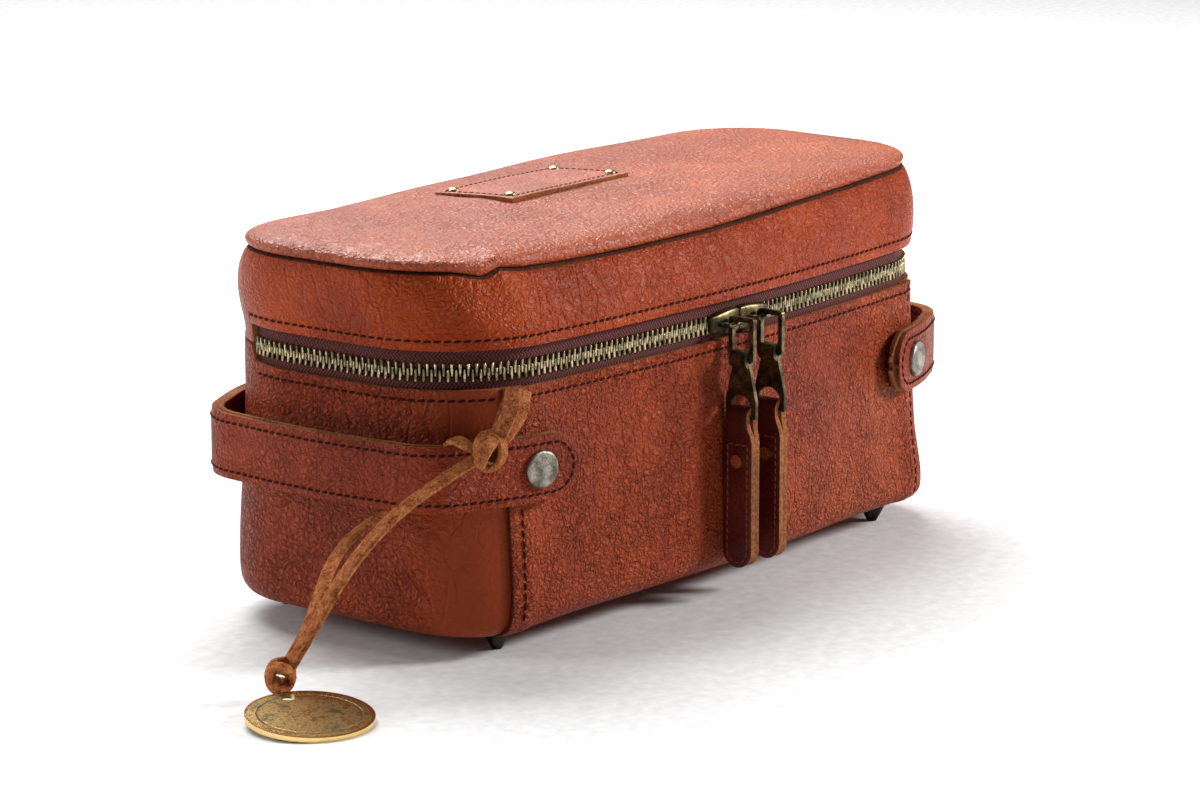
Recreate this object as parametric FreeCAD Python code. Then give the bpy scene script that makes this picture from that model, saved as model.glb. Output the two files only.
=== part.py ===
import FreeCAD, Part
import math
import os

from FreeCAD import Vector

# Hanging wash bag: a leather box with a domed lid hinged at the back, a zip round the other three
# sides with two sliders, a carrying strap at each end and a tag on a lace.
# Millimetres. +X along the length, +Y to the back, +Z up, standing on z = 0.
# The bag is modelled about the middle of its zip and moved to the part's origin on export.

# Overall plan of the zip line, which the walls follow
ZIP_HALF_LENGTH = 130.5
ZIP_HALF_DEPTH = 59.8
ZIP_CORNER_R = 39.0
FRONT_BOW_R = 1000.0
END_BOW_R = 900.0
ZIP_END_Y = 35.0

# Heights
FOOT_HEIGHT = 8.0
BODY_HEIGHT = 78.0
ZIP_GAP_BELOW = 5.4
ZIP_GAP_ABOVE = 7.1
BAND_HEIGHT = 23.4
DOME_HEIGHT = 7.4

# Sheet thicknesses
LEATHER = 2.0
BAND_LEATHER = 2.2
LINING = 0.8
LINING_GAP = 1.0
BASE_BOARD = 2.0
TAPE = 0.5

# How far the walls stand outside the zip line
TAPE_PLAY = 0.2
WALL_OUT = LEATHER + TAPE_PLAY
BOTTOM_OUT = (-1.0, -1.0, -11.0)
KNEE_OUT = (1.8, 3.4, -6.0)
WAIST_OUT = (1.6, 3.2, -1.5)
KNEE_RISE = 6.0
WAIST_RISE = 40.0
HEM_DEPTH = 8.0
BAND_FOOT_OUT = (3.2, 2.6, 2.6)
BAND_BELLY_OUT = (6.3, 0.7, -1.0)
BAND_SHOULDER_OUT = (7.3, -3.0, -2.0)
SEAM_OUT = (6.8, -6.3, -4.0)
BELLY_RISE = 11.5
SHOULDER_RISE = 19.5
DOME_OUT = ((4.5, -7.6, -5.0), (-6.0, -15.0, -9.0), (-32.0, -32.0, -17.0))
DOME_RISE = (0.31, 0.69, 1.0)

# Seams and hinge
SEAM_INSET = 19.5
HINGE_SLOT = 1.0
HINGE_OUT = 0.3
HINGE_INSET = 42.5
FLAP_REACH = 7.0
FLAP_SLOT = 0.6

# Zip
TOOTH_ROW = 2.35
ROW_GAP = 1.2
TOOTH_THICK = 3.0
TAPE_BELOW = 8.5
TAPE_TUCK = 1.0
STOP_LENGTH = 4.0

# Sliders and their bails
SLIDER_LENGTH = 15.2
SLIDER_HEIGHT = 8.6
SLIDER_CLEAR = 0.35
OUTER_PLATE = 1.6
INNER_PLATE = 1.3
POST = (2.4, 0.6)
BAIL_SPAN = 9.0
BAIL_BAR = 1.4
BAIL_LEG = 1.6
LEFT_SLIDER_X = -8.3
RIGHT_SLIDER_X = 7.3

# Links, clips and pulls
LINK_WIRE = 1.6
LINK_DEPTH = 8.4
LINK_DROP = 13.0
LINK_PLAY = 0.5
PLATE_PLAY = 0.9
CLIP_THICK = 1.4
CLIP_TOP = 5.6
CLIP_FOOT = 12.0
CLIP_LENGTH = 19.5
CLIP_EYE_PLAY = 0.2
CLIP_LEG = 1.6
PIN_R = 0.8
PULL_LENGTH = 54.0
PULL_WIDTH = 11.2
PULL_PLY = 2.3
PULL_GAP = 1.0
PULL_RIVET_DROP = 15.0
PULL_RIVET_R = 2.2
RIVET_HEAD = 0.8

# Straps
STRAP_WIDTH = 21.0
STRAP_PLY = 2.0
STRAP_RISE = 52.5
STRAP_CLEAR = 0.8
STRAP_RIVET_INSET = 27.5
STRAP_TAB = 15.5
STRAP_CORNER_OUT = (9.5, -9.8)
STRAP_END_OUT = 14.0
STRAP_CORNER_R = 20.0
STRAP_BEND_R = 90.0
STRAP_BOW_R = 180.0
RIVET_HEAD_R = 6.1
RIVET_DOME = 1.6
RIVET_POST_R = 2.0
RIVET_HOLE_CLEAR = 0.8
WASHER_R = 5.0
WASHER_THICK = 0.8
WASHER_PLAY = 0.8

# Feet
FOOT_INSET = (26.5, 15.8)
FOOT_R = 5.8
FOOT_TIP_R = 1.6
FOOT_STEM_R = 1.5
FOOT_WASHER_R = 5.5
FOOT_WASHER = 0.6

# Label on the lid
LABEL_LENGTH = 62.0
LABEL_WIDTH = 33.0
LABEL_THICK = 1.8
LABEL_X = -13.0
LABEL_Y = 14.0
LABEL_RIVET_R = 2.0
LABEL_RIVET_INSET = 4.5

# Lace, knots and disc
LACE_R = 1.5
FRONT_ROUTE = (
    (-131.0, -59.5, 69.0), (-145.0, -54.5, 63.0), (-160.5, -47.5, 53.0),
    (-173.5, -41.5, 38.5), (-182.0, -36.5, 22.5), (-188.0, -31.5, 10.0),
)
BACK_ROUTE = (
    (-128.5, -47.5, 64.5), (-135.5, -39.5, 59.5), (-137.8, -28.5, 48.8),
    (-147.5, -22.0, 42.0), (-161.5, -26.0, 37.0), (-173.5, -31.5, 30.0),
    (-182.5, -33.0, 18.0), (-188.5, -29.5, 9.0),
)
TURN_SHARE = 0.45
KNOT_AT = (-127.5, -60.5, 71.0)
KNOT_SIZE = (8.0, 3.8, 6.5)
LOWER_KNOT_AT = (-189.5, -29.5, 7.6)
LOWER_KNOT_SIZE = (6.0, 5.0, 4.2)
TAIL_TIPS = ((-113.5, -62.5, 86.0), (-120.0, -63.5, 88.0))
TAIL_R = 1.4
WRAP_WIDTH = 5.0
WRAP_THICK = 1.6
WRAP_CLEAR = 0.3
DISC_R = 19.5
DISC_THICK = 1.5
DISC_HOLE_R = 2.6
DISC_WEB = 1.6
DISC_TILT = 5.0
DISC_AT = (-202.2, -52.4)
DISC_HEADING = 67.0
EYE_R = 2.5
EYE_WIRE = 0.9

# Levels and lines that follow from the sizes above
BODY_TOP = FOOT_HEIGHT + BODY_HEIGHT
ZIP_Z = BODY_TOP + ZIP_GAP_BELOW
BAND_FOOT_Z = ZIP_Z + ZIP_GAP_ABOVE
SEAM_Z = BAND_FOOT_Z + BAND_HEIGHT
FRONT_Y = -ZIP_HALF_DEPTH
BOW_CENTRE_Y = FRONT_Y + FRONT_BOW_R
HINGE_Y = ZIP_HALF_DEPTH + WALL_OUT + HINGE_OUT
FLOOR_Z = FOOT_HEIGHT + LEATHER + BASE_BOARD
LINING_INSET = LEATHER + LINING_GAP
SEAM_X = ZIP_HALF_LENGTH - SEAM_INSET
HINGE_HALF_WIDTH = ZIP_HALF_LENGTH - HINGE_INSET
STRAP_Z = FOOT_HEIGHT + STRAP_RISE
STRAP_RIVET_X = ZIP_HALF_LENGTH - STRAP_RIVET_INSET
STRAP_CORNER = (ZIP_HALF_LENGTH + STRAP_CORNER_OUT[0], ZIP_HALF_DEPTH + STRAP_CORNER_OUT[1])
STRAP_END_X = ZIP_HALF_LENGTH + STRAP_END_OUT
FOOT_X = ZIP_HALF_LENGTH - FOOT_INSET[0]
FOOT_Y = ZIP_HALF_DEPTH - FOOT_INSET[1]
FAR = 400.0


def corner_points(half_x, half_y, bow_y, bow_x, radius):
    """Corner centre and its two tangent points, for the corner at +X, +Y."""
    front = Vector(0, half_y - bow_y, 0)
    end = Vector(half_x - bow_x, 0, 0)
    gap = end - front
    reach_f = bow_y - radius
    reach_e = bow_x - radius
    along = (reach_f ** 2 - reach_e ** 2 + gap.Length ** 2) / (2 * gap.Length)
    side = math.sqrt(reach_f ** 2 - along ** 2)
    unit = Vector(gap).normalize()
    foot = front + unit * along
    options = [foot + Vector(-unit.y, unit.x, 0) * side, foot - Vector(-unit.y, unit.x, 0) * side]
    centre = max(options, key=lambda p: p.x + p.y)
    to_front = Vector(centre - front).normalize()
    to_end = Vector(centre - end).normalize()
    return centre, centre + to_front * radius, centre + to_end * radius


def outline(z, out, inset=0.0):
    """Closed plan of eight arcs: `out` is how far the ends, the sides and the corners stand out."""
    half_x = ZIP_HALF_LENGTH + out[0] - inset
    half_y = ZIP_HALF_DEPTH + out[1] - inset
    radius = ZIP_CORNER_R + out[2] - inset
    bow_y = FRONT_BOW_R + out[1] - inset
    bow_x = END_BOW_R + out[0] - inset
    centre, side_pt, end_pt = corner_points(half_x, half_y, bow_y, bow_x, radius)
    mid = centre + Vector((side_pt + end_pt) * 0.5 - centre).normalize() * radius

    def at(point, sx, sy):
        return Vector(point.x * sx, point.y * sy, z)

    edges = []
    for sx, sy in ((1, 1), (-1, 1), (-1, -1), (1, -1)):
        turn_in, turn_out = (end_pt, side_pt) if sx * sy > 0 else (side_pt, end_pt)
        edges.append(Part.Arc(at(turn_in, sx, sy), at(mid, sx, sy), at(turn_out, sx, sy)).toShape())
        if sx * sy > 0:
            edges.append(Part.Arc(at(side_pt, sx, sy), Vector(0, sy * half_y, z),
                                  at(side_pt, -sx, sy)).toShape())
        else:
            edges.append(Part.Arc(at(end_pt, sx, sy), Vector(sx * half_x, 0, z),
                                  at(end_pt, sx, -sy)).toShape())
    return Part.Wire(edges)


def skin(levels, inset=0.0):
    """Solid whose walls run straight from one level's plan to the next."""
    return Part.makeLoft([outline(z, out, inset) for z, out in levels], True, True)


def same(amount):
    return (amount, amount, amount)


def blend_levels(low, high, z):
    """Plan at height z between two levels."""
    share = (z - low[0]) / (high[0] - low[0])
    return z, tuple(a + (b - a) * share for a, b in zip(low[1], high[1]))


def block(x0, x1, y0, y1, z0, z1):
    return Part.makeBox(x1 - x0, y1 - y0, z1 - z0, Vector(x0, y0, z0))


def slab(z0, z1):
    return block(-FAR, FAR, -FAR, FAR, z0, z1)


def cylinder(radius, length, at, axis):
    return Part.makeCylinder(radius, length, Vector(*at), Vector(*axis))


def mirrored_x(shape):
    return shape.mirror(Vector(0, 0, 0), Vector(1, 0, 0))


def body_levels(top):
    hem = BODY_TOP - HEM_DEPTH
    return [(FOOT_HEIGHT, BOTTOM_OUT), (FOOT_HEIGHT + KNEE_RISE, KNEE_OUT),
            (FOOT_HEIGHT + WAIST_RISE, WAIST_OUT), (hem, same(WALL_OUT)), (top, same(WALL_OUT))]


def lid_levels(bottom):
    rise = [(BAND_FOOT_Z, BAND_FOOT_OUT), (BAND_FOOT_Z + BELLY_RISE, BAND_BELLY_OUT),
            (BAND_FOOT_Z + SHOULDER_RISE, BAND_SHOULDER_OUT), (SEAM_Z, SEAM_OUT)]
    if bottom < BAND_FOOT_Z:
        rise.insert(0, (bottom, same(WALL_OUT)))
    return rise


def zip_region():
    """All that lies in front of the ends of the zip."""
    return block(-FAR, FAR, -FAR, ZIP_END_Y, 0, FAR)


def zip_strip(z0, z1, outside, inside):
    """Upright strip along the zip's three sides, between two offsets from its line."""
    outer = Part.Face(outline(z0, same(outside)))
    inner = Part.Face(outline(z0, same(inside)))
    ring = outer.cut(inner).extrude(Vector(0, 0, z1 - z0))
    return ring.common(zip_region())


def body_wall():
    top = ZIP_Z - HINGE_SLOT / 2
    wall = skin(body_levels(top)).cut(skin(body_levels(top), LEATHER))
    hem_cut = block(-FAR, FAR, -FAR, ZIP_END_Y, BODY_TOP, FAR)
    return wall.cut(hem_cut)


def strap_axis(sign_x, sign_y):
    """Point on the strap's middle line over the rivet, and the wall's outward direction there."""
    waist = blend_levels((FOOT_HEIGHT + WAIST_RISE, WAIST_OUT),
                         (BODY_TOP - HEM_DEPTH, same(WALL_OUT)), STRAP_Z)[1]
    radius = ZIP_CORNER_R + waist[2]
    centre = corner_points(ZIP_HALF_LENGTH + waist[0], ZIP_HALF_DEPTH + waist[1],
                           FRONT_BOW_R + waist[1], END_BOW_R + waist[0], radius)[0]
    lean = (STRAP_RIVET_X - centre.x) / (radius + STRAP_CLEAR + STRAP_PLY)
    out = Vector(lean, math.sqrt(1 - lean ** 2), 0)
    point = centre + out * (radius + STRAP_CLEAR + STRAP_PLY)
    return (Vector(sign_x * point.x, sign_y * point.y, STRAP_Z),
            Vector(sign_x * out.x, sign_y * out.y, 0))


def rivet_holes(shape):
    for sx in (-1, 1):
        for sy in (-1, 1):
            point, out = strap_axis(sx, sy)
            start = point - out * (LEATHER * 4)
            shape = shape.cut(Part.makeCylinder(RIVET_POST_R + RIVET_HOLE_CLEAR, LEATHER * 8, start, out))
    return shape


def body_panels():
    wall = rivet_holes(body_wall())
    return {
        "front_panel": wall.common(block(-SEAM_X, SEAM_X, -FAR, 0, 0, FAR)),
        "back_panel": wall.common(block(-SEAM_X, SEAM_X, 0, FAR, 0, FAR)),
        "left_end_panel": wall.common(block(-FAR, -SEAM_X, -FAR, FAR, 0, FAR)),
        "right_end_panel": wall.common(block(SEAM_X, FAR, -FAR, FAR, 0, FAR)),
    }


def foot_points():
    return [(sx * FOOT_X, sy * FOOT_Y) for sx in (-1, 1) for sy in (-1, 1)]


def body_floor():
    cavity = skin(body_levels(BODY_TOP), LEATHER)
    board = skin(body_levels(BODY_TOP), LINING_INSET)
    bottom = cavity.common(slab(FOOT_HEIGHT, FOOT_HEIGHT + LEATHER))
    stiff = board.common(slab(FOOT_HEIGHT + LEATHER, FLOOR_Z))
    for x, y in foot_points():
        stem = cylinder(FOOT_STEM_R, FLOOR_Z, (x, y, 0), (0, 0, 1))
        bottom = bottom.cut(stem)
        stiff = stiff.cut(stem)
    return {"bottom_panel": bottom, "base_board": stiff}


def body_lining():
    top = BODY_TOP - LEATHER
    outer = skin(body_levels(BODY_TOP), LINING_INSET)
    inner = skin(body_levels(BODY_TOP), LINING_INSET + LINING)
    bag = outer.common(slab(FLOOR_Z + FOOT_WASHER, top))
    hollow = inner.common(slab(FLOOR_Z + FOOT_WASHER + LINING, FAR))
    return rivet_holes(bag.cut(hollow))


def feet():
    studs = []
    washers = []
    for x, y in foot_points():
        cone = Part.makeCone(FOOT_TIP_R, FOOT_R, FOOT_HEIGHT, Vector(x, y, 0))
        stem = cylinder(FOOT_STEM_R, FLOOR_Z - FOOT_HEIGHT, (x, y, FOOT_HEIGHT), (0, 0, 1))
        studs.append(cone.fuse(stem))
        washers.append(cylinder(FOOT_WASHER_R, FOOT_WASHER, (x, y, FLOOR_Z), (0, 0, 1)))
    return {"feet": Part.Compound(studs), "foot_washers": Part.Compound(washers)}


def zip_rows():
    low_top = ZIP_Z - ROW_GAP / 2
    high_bottom = ZIP_Z + ROW_GAP / 2
    half = TOOTH_THICK / 2
    nodes = {
        "lower_zip_teeth": zip_strip(low_top - TOOTH_ROW, low_top, half, -half),
        "upper_zip_teeth": zip_strip(high_bottom, high_bottom + TOOTH_ROW, half, -half),
        "lower_zip_tape": zip_strip(low_top - TOOTH_ROW - TAPE_BELOW, low_top - TOOTH_ROW, 0, -TAPE),
        "upper_zip_tape": zip_strip(high_bottom + TOOTH_ROW, BAND_FOOT_Z + TAPE_TUCK, 0, -TAPE),
    }
    ends = block(-FAR, FAR, ZIP_END_Y, ZIP_END_Y + STOP_LENGTH, 0, FAR)
    ring = Part.Face(outline(low_top - TOOTH_ROW, same(half))).cut(
        Part.Face(outline(low_top - TOOTH_ROW, same(-half))))
    stop = ring.extrude(Vector(0, 0, TOOTH_ROW)).common(ends)
    nodes["zip_end_stops"] = stop.cut(body_wall())
    return nodes


def hinge_flaps():
    """Leather strip inside the back wall, in two halves that meet at the hinge line."""
    outer = Part.Face(outline(ZIP_Z, same(0)))
    inner = Part.Face(outline(ZIP_Z, same(-TAPE)))
    back = block(-HINGE_HALF_WIDTH, HINGE_HALF_WIDTH, 0, FAR, 0, FAR)
    lower = outer.cut(inner).extrude(Vector(0, 0, -FLAP_REACH)).common(back)
    upper = outer.cut(inner).extrude(Vector(0, 0, FLAP_REACH)).common(back)
    return {
        "lower_hinge_strip": lower.cut(slab(ZIP_Z - FLAP_SLOT / 2, FAR)),
        "upper_hinge_strip": upper.cut(slab(0, ZIP_Z + FLAP_SLOT / 2)),
    }


def lid_band():
    bottom = ZIP_Z + HINGE_SLOT / 2
    wall = skin(lid_levels(bottom)).cut(skin(lid_levels(bottom), BAND_LEATHER))
    wall = wall.cut(block(-FAR, FAR, -FAR, ZIP_END_Y, 0, BAND_FOOT_Z))
    return {
        "lid_band": wall.common(block(-FAR, FAR, -FAR, ZIP_END_Y, 0, FAR)),
        "lid_back_band": wall.common(block(-FAR, FAR, ZIP_END_Y, FAR, 0, FAR)),
    }


def dome_levels(drop):
    """Levels of the dome, or of its inside: that leaves out the first rise, which is thinner than the leather."""
    levels = [(SEAM_Z, SEAM_OUT)]
    rises = list(zip(DOME_RISE, DOME_OUT))
    for rise, out in rises[1:] if drop else rises:
        levels.append((SEAM_Z + rise * DOME_HEIGHT - drop, out))
    return levels


def dome_top():
    return SEAM_Z + DOME_HEIGHT


def lid_top_panel():
    return skin(dome_levels(0)).cut(skin(dome_levels(LEATHER), LEATHER))


def lid_lining():
    inset = BAND_LEATHER + LINING_GAP
    ceiling = SEAM_Z - LINING
    foot = BAND_FOOT_Z + TAPE_TUCK + LINING
    outer = skin(lid_levels(BAND_FOOT_Z), inset).common(slab(foot, ceiling))
    inner = skin(lid_levels(BAND_FOOT_Z), inset + LINING).common(slab(0, ceiling - LINING))
    return outer.cut(inner)


def label():
    """Leather patch let into the dome's slope, held by a rivet at each corner."""
    low = dome_top() - DOME_HEIGHT * (1 - DOME_RISE[1])
    top = dome_top() + LABEL_THICK
    half_x, half_y = LABEL_LENGTH / 2, LABEL_WIDTH / 2
    patch = block(LABEL_X - half_x, LABEL_X + half_x, LABEL_Y - half_y, LABEL_Y + half_y, low, top)
    patch = patch.cut(skin(dome_levels(0)))
    rivets = []
    for sx in (-1, 1):
        for sy in (-1, 1):
            x = LABEL_X + sx * (half_x - LABEL_RIVET_INSET)
            y = LABEL_Y + sy * (half_y - LABEL_RIVET_INSET)
            rivets.append(cylinder(LABEL_RIVET_R, RIVET_HEAD, (x, y, top), (0, 0, 1)))
    return {"label_patch": patch, "label_rivets": Part.Compound(rivets)}


def along_bow(shape, x):
    """Carry a piece from the middle of the front to x, round the axis of the front's bow."""
    turned = shape.copy()
    angle = math.degrees(math.asin(x / FRONT_BOW_R))
    turned.rotate(Vector(0, BOW_CENTRE_Y, 0), Vector(0, 0, 1), angle)
    return turned


def slider_faces():
    outside = FRONT_Y - TOOTH_THICK / 2 - SLIDER_CLEAR
    inside = FRONT_Y + TOOTH_THICK / 2 + SLIDER_CLEAR
    return outside, inside


def bail_bar_y():
    return slider_faces()[0] - OUTER_PLATE - PLATE_PLAY - LINK_WIRE - LINK_PLAY - BAIL_BAR / 2


def slider_body():
    outside, inside = slider_faces()
    half_x, half_z = SLIDER_LENGTH / 2, SLIDER_HEIGHT / 2
    outer = block(-half_x, half_x, outside - OUTER_PLATE, outside, ZIP_Z - half_z, ZIP_Z + half_z)
    inner = block(-half_x, half_x, inside, inside + INNER_PLATE, ZIP_Z - half_z, ZIP_Z + half_z)
    post = block(-POST[0] / 2, POST[0] / 2, outside, inside, ZIP_Z - POST[1] / 2, ZIP_Z + POST[1] / 2)
    return outer.fuse([inner, post]).removeSplitter()


def slider_bail():
    face = slider_faces()[0] - OUTER_PLATE
    bar_y = bail_bar_y()
    half = BAIL_SPAN / 2
    bar = cylinder(BAIL_BAR / 2, BAIL_SPAN, (-half, bar_y, ZIP_Z), (1, 0, 0))
    legs = []
    for side in (-half, half - BAIL_LEG):
        legs.append(block(side, side + BAIL_LEG, bar_y, face, ZIP_Z - BAIL_BAR / 2, ZIP_Z + BAIL_BAR / 2))
    return bar.fuse(legs).removeSplitter()


def link_box():
    """Centre lines of the link: back and front in Y, then top and bottom in Z."""
    back = slider_faces()[0] - OUTER_PLATE - PLATE_PLAY - LINK_WIRE / 2
    top = ZIP_Z + BAIL_BAR / 2 + LINK_PLAY / 2 + LINK_WIRE / 2
    return back, back - LINK_DEPTH, top, top - LINK_DROP


def link():
    back, front, top, bottom = link_box()
    r = LINK_WIRE / 2
    frame = block(-r, r, front - r, back + r, bottom - r, top + r)
    hole = block(-r, r, front + r, back - r, bottom + r, top - r)
    ring = frame.cut(hole)
    outer_edges = [e for e in ring.Edges if abs(e.Length - LINK_WIRE) < 1e-6
                   and abs(abs(e.CenterOfMass.z - (top + bottom) / 2) - (LINK_DROP / 2 + r)) < 1e-6]
    return ring.makeFillet(r * 1.5, outer_edges)


def clip():
    """Plate that hangs on the link's lower bar, with an arch at its foot and a pin across it."""
    back, front, _, bar_z = link_box()
    mid_y = (back + front) / 2
    half_x = CLIP_THICK / 2
    eye_r = LINK_WIRE / 2 * math.sqrt(2) + CLIP_EYE_PLAY
    rim = eye_r + CLIP_LEG
    foot_z = bar_z - CLIP_LENGTH
    half_top = CLIP_TOP / 2
    half_foot = CLIP_FOOT / 2
    outline_points = [
        (mid_y - half_top, bar_z), (mid_y - half_foot, foot_z + half_foot),
        (mid_y - half_foot, foot_z), (mid_y + half_foot, foot_z),
        (mid_y + half_foot, foot_z + half_foot), (mid_y + half_top, bar_z),
    ]
    points = [Vector(-half_x, y, z) for y, z in outline_points]
    plate = Part.Face(Part.makePolygon(points + points[:1])).extrude(Vector(CLIP_THICK, 0, 0))
    slot_half = half_foot - CLIP_LEG
    slot = block(-half_x, half_x, mid_y - slot_half, mid_y + slot_half, foot_z, foot_z + PIN_R * 4)
    arch = cylinder(slot_half, CLIP_THICK, (-half_x, mid_y, foot_z + PIN_R * 4), (1, 0, 0))
    plate = plate.cut(slot.fuse(arch))
    inner_half = LINK_DEPTH / 2 - LINK_WIRE / 2 - CLIP_EYE_PLAY
    barrel = cylinder(rim, inner_half * 2, (0, mid_y - inner_half, bar_z), (0, 1, 0))
    eye = cylinder(eye_r, LINK_DEPTH, (0, back - LINK_DEPTH, bar_z), (0, 1, 0))
    pin = cylinder(PIN_R, slot_half * 2, (0, mid_y - slot_half, foot_z + PIN_R), (0, 1, 0))
    return plate.fuse([barrel, pin]).cut(eye).removeSplitter()


def pull_frame():
    """Middle in Y, pin height and lowest height of a pull."""
    back, front, _, bar_z = link_box()
    pin_z = bar_z - CLIP_LENGTH + PIN_R
    return (back + front) / 2, pin_z, pin_z + PULL_GAP + PULL_PLY - PULL_LENGTH


def pull_leather():
    """Strip folded over the clip's pin, its two plies sewn together below."""
    mid_y, pin_z, low_z = pull_frame()
    outer_r = PIN_R + CLIP_EYE_PLAY + PULL_PLY
    inner_r = PIN_R + CLIP_EYE_PLAY
    neck = CLIP_FOOT / 2 - CLIP_LEG - CLIP_EYE_PLAY
    half = PULL_WIDTH / 2
    fold_end = pin_z - CLIP_FOOT / 2
    fold = cylinder(outer_r, neck * 2, (0, mid_y - neck, pin_z), (0, 1, 0))
    web = block(-outer_r, outer_r, mid_y - neck, mid_y + neck, fold_end, pin_z)
    eye = cylinder(inner_r, neck * 2, (0, mid_y - neck, pin_z), (0, 1, 0))
    blade = block(-PULL_PLY, PULL_PLY, mid_y - half, mid_y + half, low_z + half, fold_end)
    tip = cylinder(half, PULL_PLY * 2, (-PULL_PLY, mid_y, low_z + half), (1, 0, 0))
    tip = tip.common(block(-PULL_PLY, PULL_PLY, mid_y - half, mid_y + half, low_z, low_z + half))
    slit = block(-inner_r, inner_r, mid_y - neck, mid_y + neck, pin_z - outer_r, pin_z)
    return fold.fuse([web, blade, tip]).cut(eye.fuse(slit)).removeSplitter()


def pull_rivet():
    mid_y, pin_z, _ = pull_frame()
    z = pin_z - PULL_RIVET_DROP
    left = cylinder(PULL_RIVET_R, RIVET_HEAD, (-PULL_PLY - RIVET_HEAD, mid_y, z), (1, 0, 0))
    right = cylinder(PULL_RIVET_R, RIVET_HEAD, (PULL_PLY, mid_y, z), (1, 0, 0))
    return Part.Compound([left, right])


def slider_sets():
    nodes = {}
    for side, x in (("left", LEFT_SLIDER_X), ("right", RIGHT_SLIDER_X)):
        nodes[side + "_slider_body"] = along_bow(slider_body(), x)
        nodes[side + "_slider_bail"] = along_bow(slider_bail(), x)
        nodes[side + "_pull_link"] = along_bow(link(), x)
        nodes[side + "_pull_clip"] = along_bow(clip(), x)
        nodes[side + "_pull_leather"] = along_bow(pull_leather(), x)
        nodes[side + "_pull_rivet"] = along_bow(pull_rivet(), x)
    return nodes


def offset_corner(before, at, after, amount):
    """Where two strap runs meet once both have moved sideways by amount, to their left."""
    first = Vector(at - before).normalize()
    second = Vector(after - at).normalize()
    normal = Vector(-first.y - second.y, first.x + second.x, 0).normalize()
    return at + normal * (amount / (normal.y * first.x - normal.x * first.y))


def strap_line(amount):
    """The strap's plan at one side of its middle line, with its corner radii: the strap at +X."""
    rivet, out = strap_axis(1, -1)
    run = Vector(-out.y, out.x, 0)
    corner = Vector(STRAP_CORNER[0], -STRAP_CORNER[1], STRAP_Z)
    start = rivet - run * STRAP_TAB
    leave = rivet + run * (RIVET_HEAD_R + RIVET_POST_R)
    middle = Vector(STRAP_END_X, 0, STRAP_Z)
    half = [start, leave, corner, middle]
    points = half + [Vector(p.x, -p.y, p.z) for p in half[-2::-1]]
    radii = [STRAP_BEND_R, STRAP_CORNER_R, STRAP_BOW_R]
    radii = radii + radii[-2::-1]
    moved = [points[0] + Vector(-run.y, run.x, 0) * amount]
    for i in range(1, len(points) - 1):
        moved.append(offset_corner(points[i - 1], points[i], points[i + 1], amount))
    last = Vector(points[-1] - points[-2]).normalize()
    moved.append(points[-1] + Vector(-last.y, last.x, 0) * amount)
    return moved, radii


def rounded_edges(points, radii):
    """Straight runs joined by tangent arcs, one radius for each inner point."""
    edges = []
    start = points[0]
    for i, radius in enumerate(radii, start=1):
        into = Vector(points[i] - points[i - 1]).normalize()
        away = Vector(points[i + 1] - points[i]).normalize()
        half_turn = into.getAngle(away) / 2
        tangent = radius * math.tan(half_turn)
        enter = points[i] - into * tangent
        leave = points[i] + away * tangent
        to_centre = Vector(away - into).normalize()
        middle = points[i] + to_centre * (radius / math.cos(half_turn) - radius)
        edges.append(Part.LineSegment(start, enter).toShape())
        edges.append(Part.Arc(enter, middle, leave).toShape())
        start = leave
    edges.append(Part.LineSegment(start, points[-1]).toShape())
    return edges


def strap_ply(inner, outer):
    """One ply of the strap at +X, between two offsets from its middle line (positive inwards)."""
    near_points, near_radii = strap_line(inner)
    far_points, far_radii = strap_line(outer)
    near = rounded_edges(near_points, [r - inner for r in near_radii])
    far = rounded_edges(far_points, [r - outer for r in far_radii])
    ends = [Part.LineSegment(near_points[0], far_points[0]).toShape(),
            Part.LineSegment(near_points[-1], far_points[-1]).toShape()]
    face = Part.Face(Part.Wire(Part.__sortEdges__(near + far + ends)))
    half = STRAP_WIDTH / 2
    face.translate(Vector(0, 0, -half))
    ply = face.extrude(Vector(0, 0, STRAP_WIDTH))
    for sy in (-1, 1):
        ply = round_tab(ply, sy)
    return ply


def round_tab(ply, sign_y):
    """Round off the strap's end and drill it for the rivet post."""
    rivet, out = strap_axis(1, sign_y)
    tab = Vector(-out.y, out.x, 0) * sign_y
    half = STRAP_WIDTH / 2
    depth = STRAP_PLY * 4
    centre = rivet + tab * (STRAP_TAB - half)
    end = Part.makeBox(STRAP_WIDTH, depth, STRAP_WIDTH * 2, Vector(0, -depth / 2, -STRAP_WIDTH))
    end.rotate(Vector(0, 0, 0), Vector(0, 0, 1), math.degrees(math.atan2(tab.y, tab.x)))
    end.translate(centre)
    disc = Part.makeCylinder(half, depth, centre - out * (depth / 2), out)
    hole = Part.makeCylinder(RIVET_POST_R, depth, rivet - out * (depth / 2), out)
    return ply.cut(end.cut(disc)).cut(hole)


def rivet_set(sign_y):
    """Head, post and inner washer of one strap rivet at +X, and the head alone."""
    point, out = strap_axis(1, sign_y)
    face = point + out * STRAP_PLY
    head = Part.makeCylinder(RIVET_HEAD_R, RIVET_DOME, face, out)
    rim = [e for e in head.Edges if len(e.Vertexes) == 1
           and (e.CenterOfMass - face).Length > RIVET_DOME / 2]
    head = head.makeFillet(RIVET_DOME * 0.6, rim)
    inner_end = (STRAP_PLY + STRAP_CLEAR + LINING_INSET + LINING + WASHER_PLAY)
    post = Part.makeCylinder(RIVET_POST_R, inner_end + STRAP_PLY, point - out * inner_end, out)
    washer = Part.makeCylinder(WASHER_R, WASHER_THICK, point - out * (inner_end + WASHER_THICK), out)
    return head.fuse(post).removeSplitter(), washer


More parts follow.
